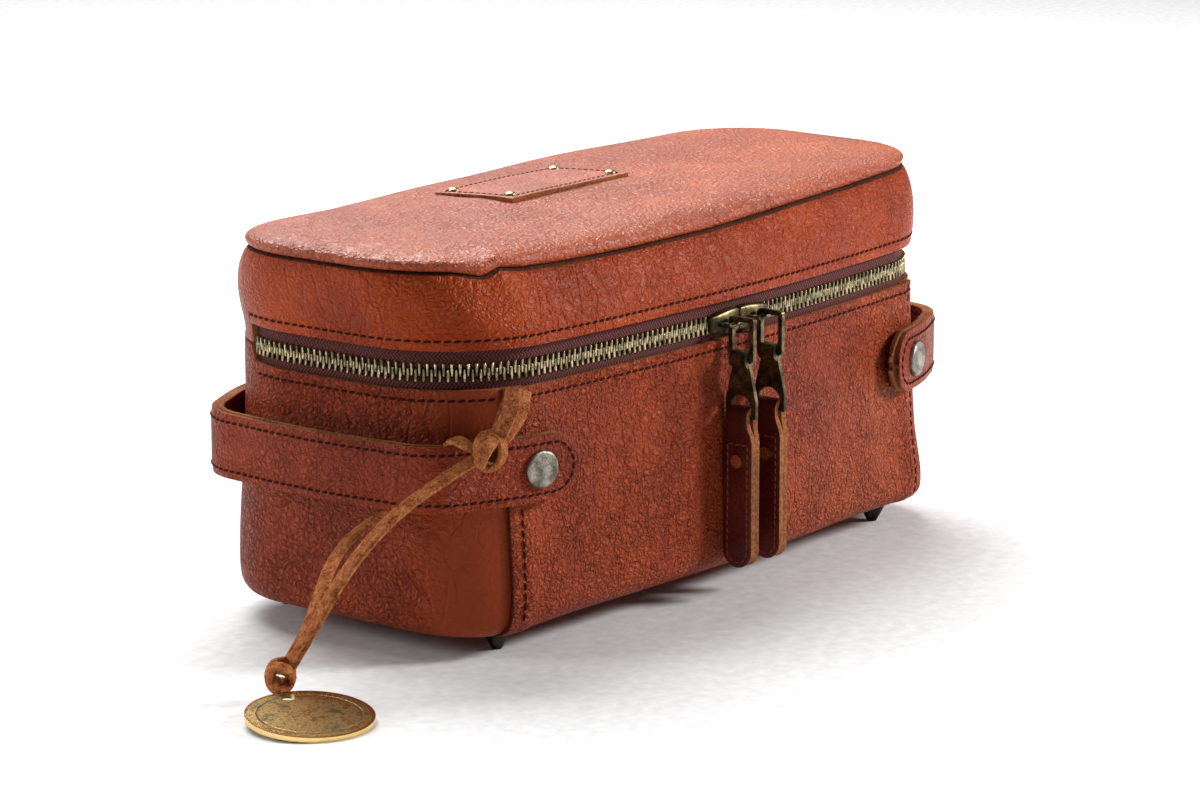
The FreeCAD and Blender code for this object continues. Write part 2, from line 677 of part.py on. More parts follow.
def straps():
    plies = {"outer_ply": strap_ply(0, -STRAP_PLY), "inner_ply": strap_ply(STRAP_PLY, 0)}
    rivets = [rivet_set(sy) for sy in (-1, 1)]
    plies["rivets"] = Part.Compound([r[0] for r in rivets])
    plies["rivet_washers"] = Part.Compound([r[1] for r in rivets])
    nodes = {}
    for name, shape in plies.items():
        nodes["right_handle_" + name] = shape
        nodes["left_handle_" + name] = mirrored_x(shape)
    return nodes


def route_edges(points):
    """Runs joined by arcs that each take a fixed share of the shorter run; gives the radii too."""
    points = [Vector(*p) for p in points]
    radii = []
    for before, at, after in zip(points, points[1:], points[2:]):
        half_turn = (at - before).getAngle(after - at) / 2
        shorter = min((at - before).Length, (after - at).Length)
        radii.append(TURN_SHARE * shorter / math.tan(half_turn))
    return rounded_edges(points, radii), radii


def lace_strand(name, route):
    edges, radii = route_edges(route)
    path = Part.Wire(edges)
    start = edges[0].valueAt(edges[0].FirstParameter)
    heading = edges[0].tangentAt(edges[0].FirstParameter)
    ring = Part.Wire(Part.Circle(start, heading, LACE_R).toShape())
    strand = path.makePipeShell([ring], True, False)
    section = math.pi * LACE_R ** 2
    print(name, "length %.1f" % path.Length, "radii", [round(r, 1) for r in radii],
          "volume share %.4f" % (strand.Volume / (section * path.Length)))
    return strand


def egg(at, size):
    """Rounded lump for a knot."""
    ball = Part.makeSphere(1.0)
    matrix = FreeCAD.Matrix()
    matrix.scale(*size)
    lump = ball.transformGeometry(matrix)
    lump.translate(Vector(*at))
    return lump


def rod(start, end, radius):
    start, end = Vector(*start), Vector(*end)
    return Part.makeCylinder(radius, (end - start).Length, start, end - start)


def strap_wrap():
    """Short turn of lace over the strap's top edge, just behind the knot."""
    top = STRAP_Z + STRAP_WIDTH / 2
    thick = STRAP_PLY + WRAP_CLEAR
    x, y, _ = KNOT_AT
    line = strap_line(0)[0]
    run = Vector(line[2] - line[1]).normalize()
    angle = -math.degrees(math.atan2(run.y, run.x))
    mid_y = -abs(line[1].y + (line[2].y - line[1].y) * (abs(x) - line[1].x) / (line[2].x - line[1].x))
    half = WRAP_WIDTH / 2
    outer = block(-half, half, -thick - WRAP_THICK, thick + WRAP_THICK,
                  STRAP_Z, top + WRAP_CLEAR + WRAP_THICK)
    inner = block(-half, half, -thick, thick, STRAP_Z, top + WRAP_CLEAR)
    wrap = outer.cut(inner)
    wrap.rotate(Vector(0, 0, 0), Vector(0, 0, 1), angle)
    wrap.translate(Vector(x, mid_y, 0))
    return wrap


def disc_frame():
    """Direction from the disc's middle to its hole, and the point on the rim that touches down."""
    heading = math.radians(DISC_HEADING)
    toward = Vector(math.cos(heading), math.sin(heading), 0)
    low = Vector(DISC_AT[0], DISC_AT[1], 0) - toward * DISC_R
    return toward, low, Vector(-toward.y, toward.x, 0)


def tilt_up(shape):
    toward, low, _ = disc_frame()
    shape.rotate(low, toward.cross(Vector(0, 0, 1)), DISC_TILT)
    return shape


def tag_disc():
    toward, _, _ = disc_frame()
    centre = Vector(DISC_AT[0], DISC_AT[1], 0)
    hole = centre + toward * (DISC_R - DISC_WEB - DISC_HOLE_R)
    disc = Part.makeCylinder(DISC_R, DISC_THICK, centre)
    disc = disc.cut(Part.makeCylinder(DISC_HOLE_R, DISC_THICK, hole))
    return tilt_up(disc)


def eye_centre():
    """Middle of the lace eye that carries the disc, which is also the disc's swing centre."""
    toward, low, _ = disc_frame()
    flat = Vector(DISC_AT[0], DISC_AT[1], DISC_THICK / 2) + toward * (DISC_R - DISC_WEB / 2)
    mark = Part.Vertex(flat)
    return tilt_up(mark).Point


def lower_knot():
    _, _, side = disc_frame()
    eye = Part.makeTorus(EYE_R, EYE_WIRE, eye_centre(), side)
    return Part.Compound([egg(LOWER_KNOT_AT, LOWER_KNOT_SIZE).fuse(eye)])


def lace():
    nodes = {
        "lace_front_strand": lace_strand("lace_front_strand", FRONT_ROUTE),
        "lace_back_strand": lace_strand("lace_back_strand", BACK_ROUTE),
        "lace_top_knot": egg(KNOT_AT, KNOT_SIZE).cut(left_strap_solid()),
        "lace_wrap": strap_wrap(),
        "lace_tails": Part.Compound([rod(KNOT_AT, tip, TAIL_R) for tip in TAIL_TIPS]),
        "lace_lower_knot": lower_knot(),
        "tag_disc": tag_disc(),
    }
    nodes["lace_wrap"] = nodes["lace_wrap"].cut(nodes["lace_top_knot"])
    nodes["lace_tails"] = nodes["lace_tails"].cut(nodes["lace_top_knot"])
    return nodes


def left_strap_solid():
    return mirrored_x(strap_ply(STRAP_PLY, -STRAP_PLY))


def origin_shift():
    """The part's origin is the middle of its box, so the bag moves by half the odd reach in front."""
    front_reach = -pull_frame()[0] + max(CLIP_FOOT, PULL_WIDTH) / 2
    point, out = strap_axis(1, 1)
    tab_reach = point.y + out.y * STRAP_PLY + out.x * STRAP_TAB
    head_reach = point.y + out.y * (STRAP_PLY + RIVET_DOME) + out.x * RIVET_HEAD_R
    back_reach = max(tab_reach, head_reach)
    return Vector(0, (front_reach - back_reach) / 2, 0)


def report_joints(shift):
    """Print where the joints lie, in the part's own frame."""
    back, front, _, bar_z = link_box()
    print("lid hinge y %.4f z %.4f" % (HINGE_Y + shift.y, ZIP_Z))
    print("slider travel centre y %.4f" % (BOW_CENTRE_Y + shift.y))
    for side, x in (("left", LEFT_SLIDER_X), ("right", RIGHT_SLIDER_X)):
        for name, y, z in (("bail", bail_bar_y(), ZIP_Z), ("link bar", (back + front) / 2, bar_z)):
            spot = along_bow(Part.Vertex(Vector(0, y, z)), x).Point + shift
            print("%s %s x %.4f y %.4f z %.4f" % (side, name, spot.x, spot.y, spot.z))
    print("strap rivets x %.4f z %.4f" % (strap_axis(1, 1)[0].x, STRAP_Z))
    eye = eye_centre() + shift
    print("disc eye x %.4f y %.4f z %.4f" % (eye.x, eye.y, eye.z))


def export(nodes):
    os.makedirs("parts", exist_ok=True)
    shift = origin_shift()
    for name, shape in nodes.items():
        placed = shape.copy()
        placed.translate(shift)
        if not placed.isValid():
            raise ValueError(name + " is not a valid solid")
        placed.exportStep("parts/%s.step" % name)
        print("%-26s solids %2d volume %10.1f" % (name, len(placed.Solids), placed.Volume))
    report_joints(shift)


def main():
    nodes = {}
    nodes.update(body_panels())
    nodes.update(body_floor())
    nodes["body_lining"] = body_lining()
    nodes.update(feet())
    nodes.update(zip_rows())
    nodes.update(hinge_flaps())
    nodes.update(lid_band())
    nodes["lid_top_panel"] = lid_top_panel()
    nodes["lid_lining"] = lid_lining()
    nodes.update(label())
    nodes.update(slider_sets())
    nodes.update(straps())
    nodes.update(lace())
    export(nodes)


main()
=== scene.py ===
"""Hanging wash bag: a leather box with a domed lid, a zip round three sides and a strap at each end."""

import logging
import math
from collections.abc import Callable, Iterator, Sequence
from contextlib import contextmanager
from dataclasses import dataclass, field
from enum import Enum

import bpy
import numpy as np
from mathutils import Matrix, Vector


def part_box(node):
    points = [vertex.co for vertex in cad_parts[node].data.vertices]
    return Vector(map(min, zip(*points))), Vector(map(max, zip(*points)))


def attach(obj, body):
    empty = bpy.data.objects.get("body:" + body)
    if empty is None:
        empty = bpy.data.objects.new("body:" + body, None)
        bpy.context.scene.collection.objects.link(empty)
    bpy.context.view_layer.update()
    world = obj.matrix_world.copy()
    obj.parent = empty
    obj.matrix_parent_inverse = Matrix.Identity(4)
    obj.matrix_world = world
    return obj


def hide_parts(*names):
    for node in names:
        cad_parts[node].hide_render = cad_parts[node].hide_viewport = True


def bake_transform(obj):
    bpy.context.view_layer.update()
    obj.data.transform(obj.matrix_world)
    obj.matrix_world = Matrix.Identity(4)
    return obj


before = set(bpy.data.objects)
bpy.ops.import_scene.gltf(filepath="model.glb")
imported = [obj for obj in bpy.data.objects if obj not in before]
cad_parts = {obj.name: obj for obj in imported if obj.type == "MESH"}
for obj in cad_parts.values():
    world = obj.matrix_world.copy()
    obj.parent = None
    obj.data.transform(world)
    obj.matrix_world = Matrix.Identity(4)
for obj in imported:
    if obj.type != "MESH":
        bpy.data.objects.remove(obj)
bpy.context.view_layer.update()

logging.basicConfig(level=logging.INFO, format="%(message)s")
LOG = logging.getLogger("wash_bag")

MM = 0.001
TAU = 2 * math.pi
# Slot 1 holds cut edges and inner faces; slot 2 holds the painted shade finish.
EDGE_SLOT, SHADE_SLOT = 1, 2
Colour = tuple[float, float, float]
Out = tuple[float, float, float]
Line = tuple[np.ndarray, np.ndarray]


# ---------------------------------------------------------------- node graphs


class Socket:
    """A node's output that Python's own operators work on."""

    def __init__(self, graph: "Graph", socket: bpy.types.NodeSocket) -> None:
        """Keep the output and the graph it is in."""
        self.graph = graph
        self.socket = socket

    def _math(self, kind: str, *values: "Socket | float") -> "Socket":
        """Add a Math node.

        Args:
            kind: the node's operation.
            values: its inputs in order.

        Returns:
            The node's result.
        """
        return self.graph.node("ShaderNodeMath", {"operation": kind}, dict(enumerate(values)))

    def __add__(self, other: "Socket | float") -> "Socket":
        """Sum of two values."""
        return self._math("ADD", self, other)

    def __sub__(self, other: "Socket | float") -> "Socket":
        """Difference of two values."""
        return self._math("SUBTRACT", self, other)

    def __rsub__(self, other: float) -> "Socket":
        """A number less this value."""
        return self._math("SUBTRACT", other, self)

    def __mul__(self, other: "Socket | float") -> "Socket":
        """Product of two values."""
        return self._math("MULTIPLY", self, other)

    def __truediv__(self, other: "Socket | float") -> "Socket":
        """Quotient of two values."""
        return self._math("DIVIDE", self, other)

    __radd__ = __add__
    __rmul__ = __mul__

    def below(self, other: float) -> "Socket":
        """1 where this value is less than other, and 0 elsewhere."""
        return self._math("LESS_THAN", self, other)

    def part(self) -> "Socket":
        """What is left after rounding down."""
        return self._math("FRACT", self)

    def size(self) -> "Socket":
        """This value without its sign."""
        return self._math("ABSOLUTE", self)

    def least(self, other: "Socket | float") -> "Socket":
        """The lesser of two values."""
        return self._math("MINIMUM", self, other)

    def ease(self, low: float, high: float) -> "Socket":
        """Rise smoothly from 0 at low to 1 at high.

        Args:
            low: where the rise starts.
            high: where it ends.

        Returns:
            The eased value.
        """
        inputs = {"Value": self, "From Min": low, "From Max": high}
        return self.graph.node("ShaderNodeMapRange", {"interpolation_type": "SMOOTHSTEP"}, inputs)


class Graph:
    """The node tree of one finish."""

    def __init__(self, name: str) -> None:
        """Start an empty material of that name.

        Args:
            name: the finish's name.
        """
        self.material = bpy.data.materials.new(f"bag_{name}")
        self.material.use_nodes = True
        self.tree = self.material.node_tree
        self.tree.nodes.clear()

    @staticmethod
    def _find(sockets: bpy.types.NodeInputs, key: str | int) -> bpy.types.NodeSocket:
        """The socket with that identifier, name or number.

        Args:
            sockets: a node's inputs or outputs.
            key: the identifier, name or number.

        Returns:
            The socket.
        """
        for socket in sockets:
            if socket.identifier == key:
                return socket
        return sockets[key]

    def node(self, kind: str, settings: dict, inputs: dict, out: str | int = 0) -> Socket:
        """Add one node.

        Args:
            kind: the node's type.
            settings: its properties, set first.
            inputs: what each input gets: a value, or another node's output.
            out: the output that is wanted.

        Returns:
            That output.
        """
        node = self.tree.nodes.new(kind)
        for key, value in settings.items():
            if key == "stops":
                self._fill_ramp(node.color_ramp, value)
            else:
                setattr(node, key, value)
        for key, value in inputs.items():
            socket = self._find(node.inputs, key)
            if isinstance(value, Socket):
                self.tree.links.new(value.socket, socket)
            elif isinstance(value, tuple) and socket.type == "RGBA":
                socket.default_value = (*value, 1.0)
            else:
                socket.default_value = value
        return Socket(self, self._find(node.outputs, out))

    @staticmethod
    def _fill_ramp(ramp: bpy.types.ColorRamp, stops: Sequence[tuple[float, Colour]]) -> None:
        """Give a colour ramp its stops.

        Args:
            ramp: the ramp.
            stops: a place and a colour each.
        """
        while len(ramp.elements) < len(stops):
            ramp.elements.new(0.5)
        for element, (place, colour) in zip(ramp.elements, stops):
            element.position = place
            element.color = (*colour, 1.0)

    def vector(self, kind: str, first: Socket, second: Socket | Out) -> Socket:
        """Add a Vector Math node.

        Args:
            kind: the node's operation.
            first: its first input.
            second: its second input.

        Returns:
            The node's vector.
        """
        return self.node("ShaderNodeVectorMath", {"operation": kind}, {0: first, 1: second}, "Vector")

    def axis(self, here: Socket, number: int) -> Socket:
        """One coordinate of a place: 0 for X, 1 for Y, 2 for Z."""
        return self.node("ShaderNodeSeparateXYZ", {}, {0: here}, number)

    def place(self) -> Socket:
        """Object coordinates."""
        return self.node("ShaderNodeTexCoord", {}, {}, "Object")

    def warped(self, here: Socket, scale: float, amount: float) -> Socket:
        """Coordinates pushed about by noise.

        Args:
            here: the coordinates.
            scale: the noise's scale.
            amount: how far they move.

        Returns:
            The moved coordinates.
        """
        wander = self.node("ShaderNodeTexNoise", {}, {"Vector": here, "Scale": scale, "Detail": 2.0}, "Color")
        return self.vector("ADD", here, self.vector("MULTIPLY", wander, (amount,) * 3))

    def noise(self, here: Socket, scale: float, detail: float = 3.0, rough: float = 0.55) -> Socket:
        """Noise from 0 to 1.

        Args:
            here: the coordinates.
            scale: how fine it is.
            detail: the octaves.
            rough: the share of the finer octaves.

        Returns:
            The noise.
        """
        inputs = {"Vector": here, "Scale": scale, "Detail": detail, "Roughness": rough}
        return self.node("ShaderNodeTexNoise", {}, inputs)

    def creases(self, here: Socket, scale: float, detail: float, wide: float) -> Socket:
        """Wandering creases: 0 in a crease, 1 away from it.

        Args:
            here: the coordinates.
            scale: how close the creases lie.
            detail: the octaves.
            wide: how wide a crease is, in the noise's own steps.

        Returns:
            The creases.
        """
        return (self.noise(here, scale, detail, 0.5) - 0.5).size().ease(0.0, wide)

    def cells(self, here: Socket, scale: float) -> Socket:
        """Distance to the nearest edge between cells."""
        settings = {"feature": "DISTANCE_TO_EDGE"}
        return self.node("ShaderNodeTexVoronoi", settings, {"Vector": here, "Scale": scale})

    def ramp(self, value: Socket, stops: Sequence[tuple[float, Colour]]) -> Socket:
        """A colour for a value."""
        return self.node("ShaderNodeValToRGB", {"stops": stops}, {0: value})

    def mix(self, share: Socket, first: Socket | Colour, second: Socket | Colour) -> Socket:
        """Mix two colours.

        Args:
            share: how much of the second.
            first: the first colour.
            second: the second colour.

        Returns:
            The mixed colour.
        """
        inputs = {"Factor_Float": share, "A_Color": first, "B_Color": second}
        return self.node("ShaderNodeMix", {"data_type": "RGBA"}, inputs, "Result_Color")

    def finish(self, colour: Socket, rough: Socket | float, height: Socket, depth: float,
               **fixed: float) -> bpy.types.Material:
        """Close the graph with its shader.

        Args:
            colour: base colour.
            rough: roughness.
            height: relief for the bump.
            depth: the relief's depth in metres.
            fixed: other shader values, by name with _ for a space.

        Returns:
            The finished material.
        """
        bump = self.node("ShaderNodeBump", {}, {"Height": height, "Distance": depth, "Strength": 1.0})
        inputs: dict = {"Base Color": colour, "Roughness": rough, "Normal": bump}
        inputs.update({key.replace("_", " "): value for key, value in fixed.items()})
        shader = self.node("ShaderNodeBsdfPrincipled", {}, inputs)
        out = self.tree.nodes.new("ShaderNodeOutputMaterial")
        self.tree.links.new(shader.socket, out.inputs["Surface"])
        return self.material


# ------------------------------------------------------------------- finishes


def middle_of(node: str) -> tuple[float, ...]:
    """The middle of a node's box, in metres."""
    return tuple((low + high) / 2 for low, high in zip(*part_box(node)))


@dataclass(frozen=True)
class Leather:
    """Pebbled, vegetable-tanned leather."""

    name: str
    deep: Colour = (0.240, 0.029, 0.009)
    mid: Colour = (0.360, 0.049, 0.012)
    bright: Colour = (0.465, 0.080, 0.019)
    pebble: float = 1.95
    depth: float = 1.6
    rough: float = 0.38
    crease: float = 0.30
    # How strongly painted shade darkens the grain's grooves and creases.
    groove_shade: float = 0.70
    shine: float = 0.14
    burnish: bool = False
    # Colour for faces that turn sideways; faces that look up keep the finish's lighter colours, a painted sheen.
    sheen_free_lip: Colour | None = None
    rubbed: Colour = (0.30, 0.048, 0.010)
    squash: Out = (0.85, 0.85, 1.25)
    stretch: Out = (1.0, 1.0, 0.45)

    def build(self) -> bpy.types.Material:
        """The finished material."""
        g = Graph(self.name)
        here = g.place()
        loose = g.warped(here, 190.0, 0.0042)
        pebbles = g.vector("MULTIPLY", loose, self.squash)
        coarse = g.cells(pebbles, 1000.0 / self.pebble)
        fine = g.cells(pebbles, 2300.0 / self.pebble)
        worn = g.noise(here, 38.0, 3.0).ease(0.36, 0.60) * 0.30 + 0.70
        if self.burnish:
            rubbed = self.corner_skin(g, here)
            worn = worn * (1.0 - rubbed * 0.85)
        pore = coarse.ease(0.0, 0.62)
        ridge, cross = g.creases(loose, 250.0, 2.0, 0.05), g.creases(loose, 430.0, 1.0, 0.07)
        grain = (pore * 0.62 + fine.ease(0.0, 0.5) * 0.14 + ridge * 0.22 + cross * 0.10) * worn
        patch = g.noise(here, 24.0, 2.0).ease(0.35, 0.70)
        fold = g.warped(g.vector("MULTIPLY", here, self.stretch), 45.0, 0.012)
        wrinkle = g.cells(fold, 170.0).ease(0.0, 0.12)
        height = grain + wrinkle * patch * self.crease + g.noise(here, 2600.0, 2.0) * 0.08
        lines = (1.0 - coarse.ease(0.0, 0.24)) * 0.70 + (1.0 - ridge) * 0.36 + (1.0 - cross) * 0.14
        groove_shade = lines.least(1.0) * worn * self.groove_shade + (1.0 - wrinkle) * patch * 0.08
        cloud = g.noise(g.warped(here, 9.0, 0.03), 17.0, 4.0, 0.6)
        tone = g.ramp(cloud, [(0.30, self.deep), (0.50, self.mid), (0.70, self.bright)])
        speckle = g.noise(here, 420.0, 3.0, 0.7).ease(0.30, 0.75)
        # The speckle is the leather's own mottle; the small pore share lightens the pebble tops, a painted
        # highlight.
        tone = g.mix(speckle * 0.30 + pore * 0.06, tone, self.bright)
        if self.burnish:
            tone = g.mix(rubbed * 0.8, tone, self.rubbed)
        # Painted sheen: by the surface normal, faces that turn sideways are mixed to the lip colour and the
        # upward faces stay lighter.
        if self.sheen_free_lip:
            lean = g.node("ShaderNodeNewGeometry", {}, {}, "Normal")
            tone = g.mix((1.0 - g.axis(lean, 2).ease(0.55, 0.96)) * 0.9, tone, self.sheen_free_lip)
        # Painted shade: the grain's grooves and creases are darkened towards a fifth of the deep tone.
        tone = g.mix(groove_shade.least(0.9), tone, tuple(0.22 * c for c in self.deep))
        rough = g.noise(here, 60.0, 3.0) * 0.14 + (self.rough - 0.07) + groove_shade * 0.28
        return g.finish(tone, rough, height, self.depth * MM, Specular_IOR_Level=self.shine)

    @staticmethod
    def corner_skin(g: Graph, here: Socket) -> Socket:
        """Where the front corners are rubbed smooth.

        Args:
            g: the finish's graph.
            here: object coordinates.

        Returns:
            1 on the rubbed skin and 0 elsewhere.
        """
        wander = g.noise(here, 30.0, 2.0) * 0.02
        return (g.axis(here, 0).size() * -0.75 - g.axis(here, 1) * 0.66 + wander).ease(-0.078, -0.056)


@dataclass(frozen=True)
class RawEdge:
    """Cut leather: pale fibres and a burnished skin; in near-black colours it is painted shade."""

    name: str = "raw_edge"
    dark: Colour = (0.085, 0.024, 0.009)
    pale: Colour = (0.40, 0.140, 0.046)

    def build(self) -> bpy.types.Material:
        """The finished material."""
        g = Graph(self.name)
        here = g.place()
        fibre = g.noise(here, 900.0, 4.0, 0.7)
        cloud = g.noise(here, 70.0, 2.0)
        tone = g.ramp(fibre * 0.65 + cloud * 0.35, [(0.36, self.dark), (0.62, self.pale)])
        return g.finish(tone, 0.82, fibre, 0.0006, Specular_IOR_Level=0.15)


@dataclass(frozen=True)
class Suede:
    """Split lace: a napped orange-tan with specks of the smooth side."""

    name: str = "lace_suede"
    dark: Colour = (0.13, 0.030, 0.011)
    mid: Colour = (0.46, 0.135, 0.042)
    pale: Colour = (0.78, 0.310, 0.115)

    def build(self) -> bpy.types.Material:
        """The finished material."""
        g = Graph(self.name)
        here = g.place()
        nap = g.noise(here, 1300.0, 4.0, 0.75)
        blot = g.noise(g.warped(here, 300.0, 0.002), 330.0, 3.0, 0.7)
        tone = g.ramp(nap * 0.5 + blot * 0.5, [(0.37, self.dark), (0.47, self.mid), (0.62, self.pale)])
        return g.finish(tone, 0.92, nap + blot * 0.6, 0.0014, Specular_IOR_Level=0.1)


@dataclass(frozen=True)
class Thread:
    """Waxed sewing thread."""

    name: str = "thread"
    tone: Colour = (0.024, 0.005, 0.003)

    def build(self) -> bpy.types.Material:
        """The finished material."""
        g = Graph(self.name)
        twist = g.noise(g.place(), 1500.0, 2.0)
        colour = g.mix(twist, self.tone, tuple(2.0 * c for c in self.tone))
        return g.finish(colour, 0.80, twist, 0.0001, Specular_IOR_Level=0.08)


@dataclass(frozen=True)
class Metal:
    """Aged metal: a bright ground under a dark, blotchy patina."""

    name: str
    dark: Colour = (0.085, 0.066, 0.036)
    bright: Colour = (0.46, 0.37, 0.20)
    blotch: float = 150.0
    low: float = 0.36
    high: float = 0.66
    rough: float = 0.28
    dent: float = 0.05

    def build(self) -> bpy.types.Material:
        """The finished material."""
        g = Graph(self.name)
        here = g.place()
        cloud = g.noise(here, self.blotch, 5.0, 0.65)
        speck = g.noise(here, self.blotch * 9.0, 3.0)
        patina = (cloud * 0.75 + speck * 0.25).ease(self.low, self.high)
        colour = g.mix(patina, self.dark, self.bright)
        rough = self.rough + 0.22 * (1.0 - patina)
        return g.finish(colour, rough, cloud + speck * 0.3, self.dent * MM, Metallic=1.0)


@dataclass(frozen=True)
class StampedDisc:
    """Antique brass disc with a bright rim and a struck ring."""

    name: str = "disc_brass"
    dark: Colour = (0.07, 0.048, 0.018)
    bright: Colour = (0.86, 0.61, 0.24)
    ring: float = 15.6
    rim: float = 18.3

    def build(self) -> bpy.types.Material:
        """The finished material."""
        g = Graph(self.name)
        here = g.place()
        off = g.vector("SUBTRACT", here, (*middle_of("tag_disc")[:2], 0.0))
        level = g.vector("MULTIPLY", off, (1.0, 1.0, 0.0))
        reach = g.node("ShaderNodeVectorMath", {"operation": "LENGTH"}, {0: level}, "Value") / MM
        ring = 1.0 - (reach - self.ring).size().ease(0.15, 0.50)
        rim = reach.ease(self.rim - 0.3, self.rim + 0.4)
        cloud = g.noise(here, 120.0, 5.0, 0.65)
        speck = g.noise(here, 900.0, 3.0)
        patina = (cloud * 0.7 + speck * 0.3).ease(0.38, 0.62) * (1.0 - ring * 0.8)
        patina = patina * (1.0 - rim) + rim
        colour = g.mix(patina, self.dark, self.bright)
        rough = 0.20 + 0.25 * (1.0 - patina)
        return g.finish(colour, rough, cloud * 0.5 + speck * 0.2 - ring * 0.8, 0.0003, Metallic=1.0)


@dataclass(frozen=True)
class Cloth:
    """Plain weave on the sheet's own lengthways and crossways sizes."""

    name: str
    dark: Colour
    pale: Colour
    pitch: float = 0.9
    chevron: bool = False

    def build(self) -> bpy.types.Material:
        """The finished material."""
        g = Graph(self.name)
        uv = g.node("ShaderNodeUVMap", {"uv_map": "UVMap"}, {})
        across, along = (g.axis(uv, number) / (self.pitch * MM) for number in (0, 1))
        if self.chevron:
            slant = (along * 0.5).part().below(0.5) * 2.0 - 1.0
            rib = (across + along * slant).part() - 0.5
            weave = 1.0 - rib.size() * 2.0
        else:
            weave = (across.part() - 0.5).size() + (along.part() - 0.5).size()
        fuzz = g.noise(g.place(), 1900.0, 3.0)
        tone = g.mix((weave * 0.7 + fuzz * 0.3).ease(0.2, 0.9), self.dark, self.pale)
        return g.finish(tone, 0.88, weave + fuzz * 0.3, 0.0002)


@dataclass(frozen=True)
class Solid:
    """Moulded or painted matter with a faint mottle."""

    name: str
    tone: Colour
    rough: float = 0.5

    def build(self) -> bpy.types.Material:
        """The finished material."""
        g = Graph(self.name)
        mottle = g.noise(g.place(), 220.0, 3.0)
        colour = g.mix(mottle, self.tone, tuple(min(1.0, 1.5 * c + 0.005) for c in self.tone))
        return g.finish(colour, self.rough + 0.1 * mottle, mottle, 0.0001)


class Finish(Enum):
    """Every finish on the bag."""

    BODY = Leather("body_leather")
    END = Leather("end_leather", deep=(0.215, 0.026, 0.008), mid=(0.315, 0.042, 0.012),
                  bright=(0.42, 0.070, 0.019), pebble=2.2, depth=1.8, burnish=True)
    BAND = Leather("lid_band_leather", deep=(0.205, 0.021, 0.002), mid=(0.325, 0.035, 0.003),
                   bright=(0.47, 0.064, 0.005), pebble=1.9, depth=0.8, crease=0.35, rough=0.34,
                   groove_shade=0.34, shine=0.15)
    # The top's colours are lighter and pinker than the band's: painted sheen of the overhead light. Its lip
    # colour is the leather's own orange, kept on faces that turn sideways.
    TOP = Leather("lid_top_leather", deep=(0.30, 0.050, 0.015), mid=(0.41, 0.077, 0.023),
                  bright=(0.53, 0.117, 0.037), pebble=1.9, depth=0.9, crease=0.12, rough=0.34, groove_shade=0.60,
                  shine=0.50, sheen_free_lip=(0.47, 0.064, 0.007))
    STRAP = Leather("strap_leather", deep=(0.185, 0.020, 0.007), mid=(0.295, 0.037, 0.011),
                    bright=(0.40, 0.064, 0.019), pebble=2.0, depth=1.2, crease=0.4, groove_shade=0.55)
    PULL = Leather("pull_leather", deep=(0.030, 0.003, 0.002), mid=(0.080, 0.007, 0.003),
                   bright=(0.20, 0.018, 0.006), pebble=0.9, depth=0.25, rough=0.26, groove_shade=0.4, shine=0.4)
    LABEL = Leather("label_leather", deep=(0.28, 0.050, 0.018), mid=(0.43, 0.088, 0.033),
                    bright=(0.52, 0.124, 0.048), pebble=1.4, depth=0.8, groove_shade=0.5, shine=0.6)
    EDGE = RawEdge()
    # Painted shade: a near-black finish for faces that lie in shade, in the lid's top seam and inside the body
    # below the hem.
    DARK_EDGE = RawEdge("painted_shade", (0.020, 0.007, 0.004), (0.12, 0.036, 0.016))
    SUEDE = Suede()
    THREAD = Thread()
    PULL_THREAD = Thread("pull_thread", (0.20, 0.050, 0.030))
    BRASS = Metal("antique_brass", (0.045, 0.034, 0.018), (0.36, 0.28, 0.14), low=0.42, high=0.74)
    STUD = Metal("stud_brass", (0.16, 0.11, 0.05), (0.78, 0.56, 0.27), low=0.30, high=0.55, rough=0.22)
    TEETH = Metal("zip_teeth_brass", (0.10, 0.080, 0.045), (0.66, 0.55, 0.33), blotch=420.0, rough=0.22)
    NICKEL = Metal("aged_nickel", (0.10, 0.085, 0.065), (0.40, 0.37, 0.31), blotch=260.0, dent=0.5)
    DISC = StampedDisc()
    TAPE = Cloth("zip_tape", (0.020, 0.003, 0.003), (0.17, 0.026, 0.018), 1.3, True)
    LINING = Cloth("lining", (0.045, 0.024, 0.014), (0.12, 0.072, 0.042), 0.8)
    BOARD = Solid("base_board", (0.05, 0.035, 0.025), 0.8)
    FOOT = Metal("foot_metal", (0.012, 0.010, 0.008), (0.07, 0.055, 0.04), rough=0.35)
    STEEL = Metal("steel", (0.25, 0.25, 0.25), (0.5, 0.5, 0.5))
    FLOOR = Solid("studio_floor", (0.60, 0.60, 0.60), 0.9)

    def material(self) -> bpy.types.Material:
        """This finish's material, built once."""
        return bpy.data.materials.get(f"bag_{self.value.name}") or self.value.build()


# ------------------------------------------------------------- making helpers


def deselect() -> None:
    """Leave nothing selected."""
    for obj in bpy.context.selected_objects:
        obj.select_set(False)


def choose(obj: bpy.types.Object) -> None:
    """Select one object and make it active.

    Args:
        obj: the object.
    """
    deselect()
    obj.select_set(True)
    bpy.context.view_layer.objects.active = obj


def named(name: str) -> bpy.types.Object:
    """Name the primitive that was just added.

    Args:
        name: the name, for the object and its mesh.

    Returns:
        The primitive.
    """
    obj = bpy.context.active_object
    obj.name = obj.data.name = name
    return obj


def put(name: str, data: bpy.types.ID) -> bpy.types.Object:
    """Put new data in the scene as an object.

    Args:
        name: the object's name.
        data: its mesh, curve, camera or light.

    Returns:
        The object.
    """
    obj = bpy.data.objects.new(name, data)
    bpy.context.scene.collection.objects.link(obj)
    return obj


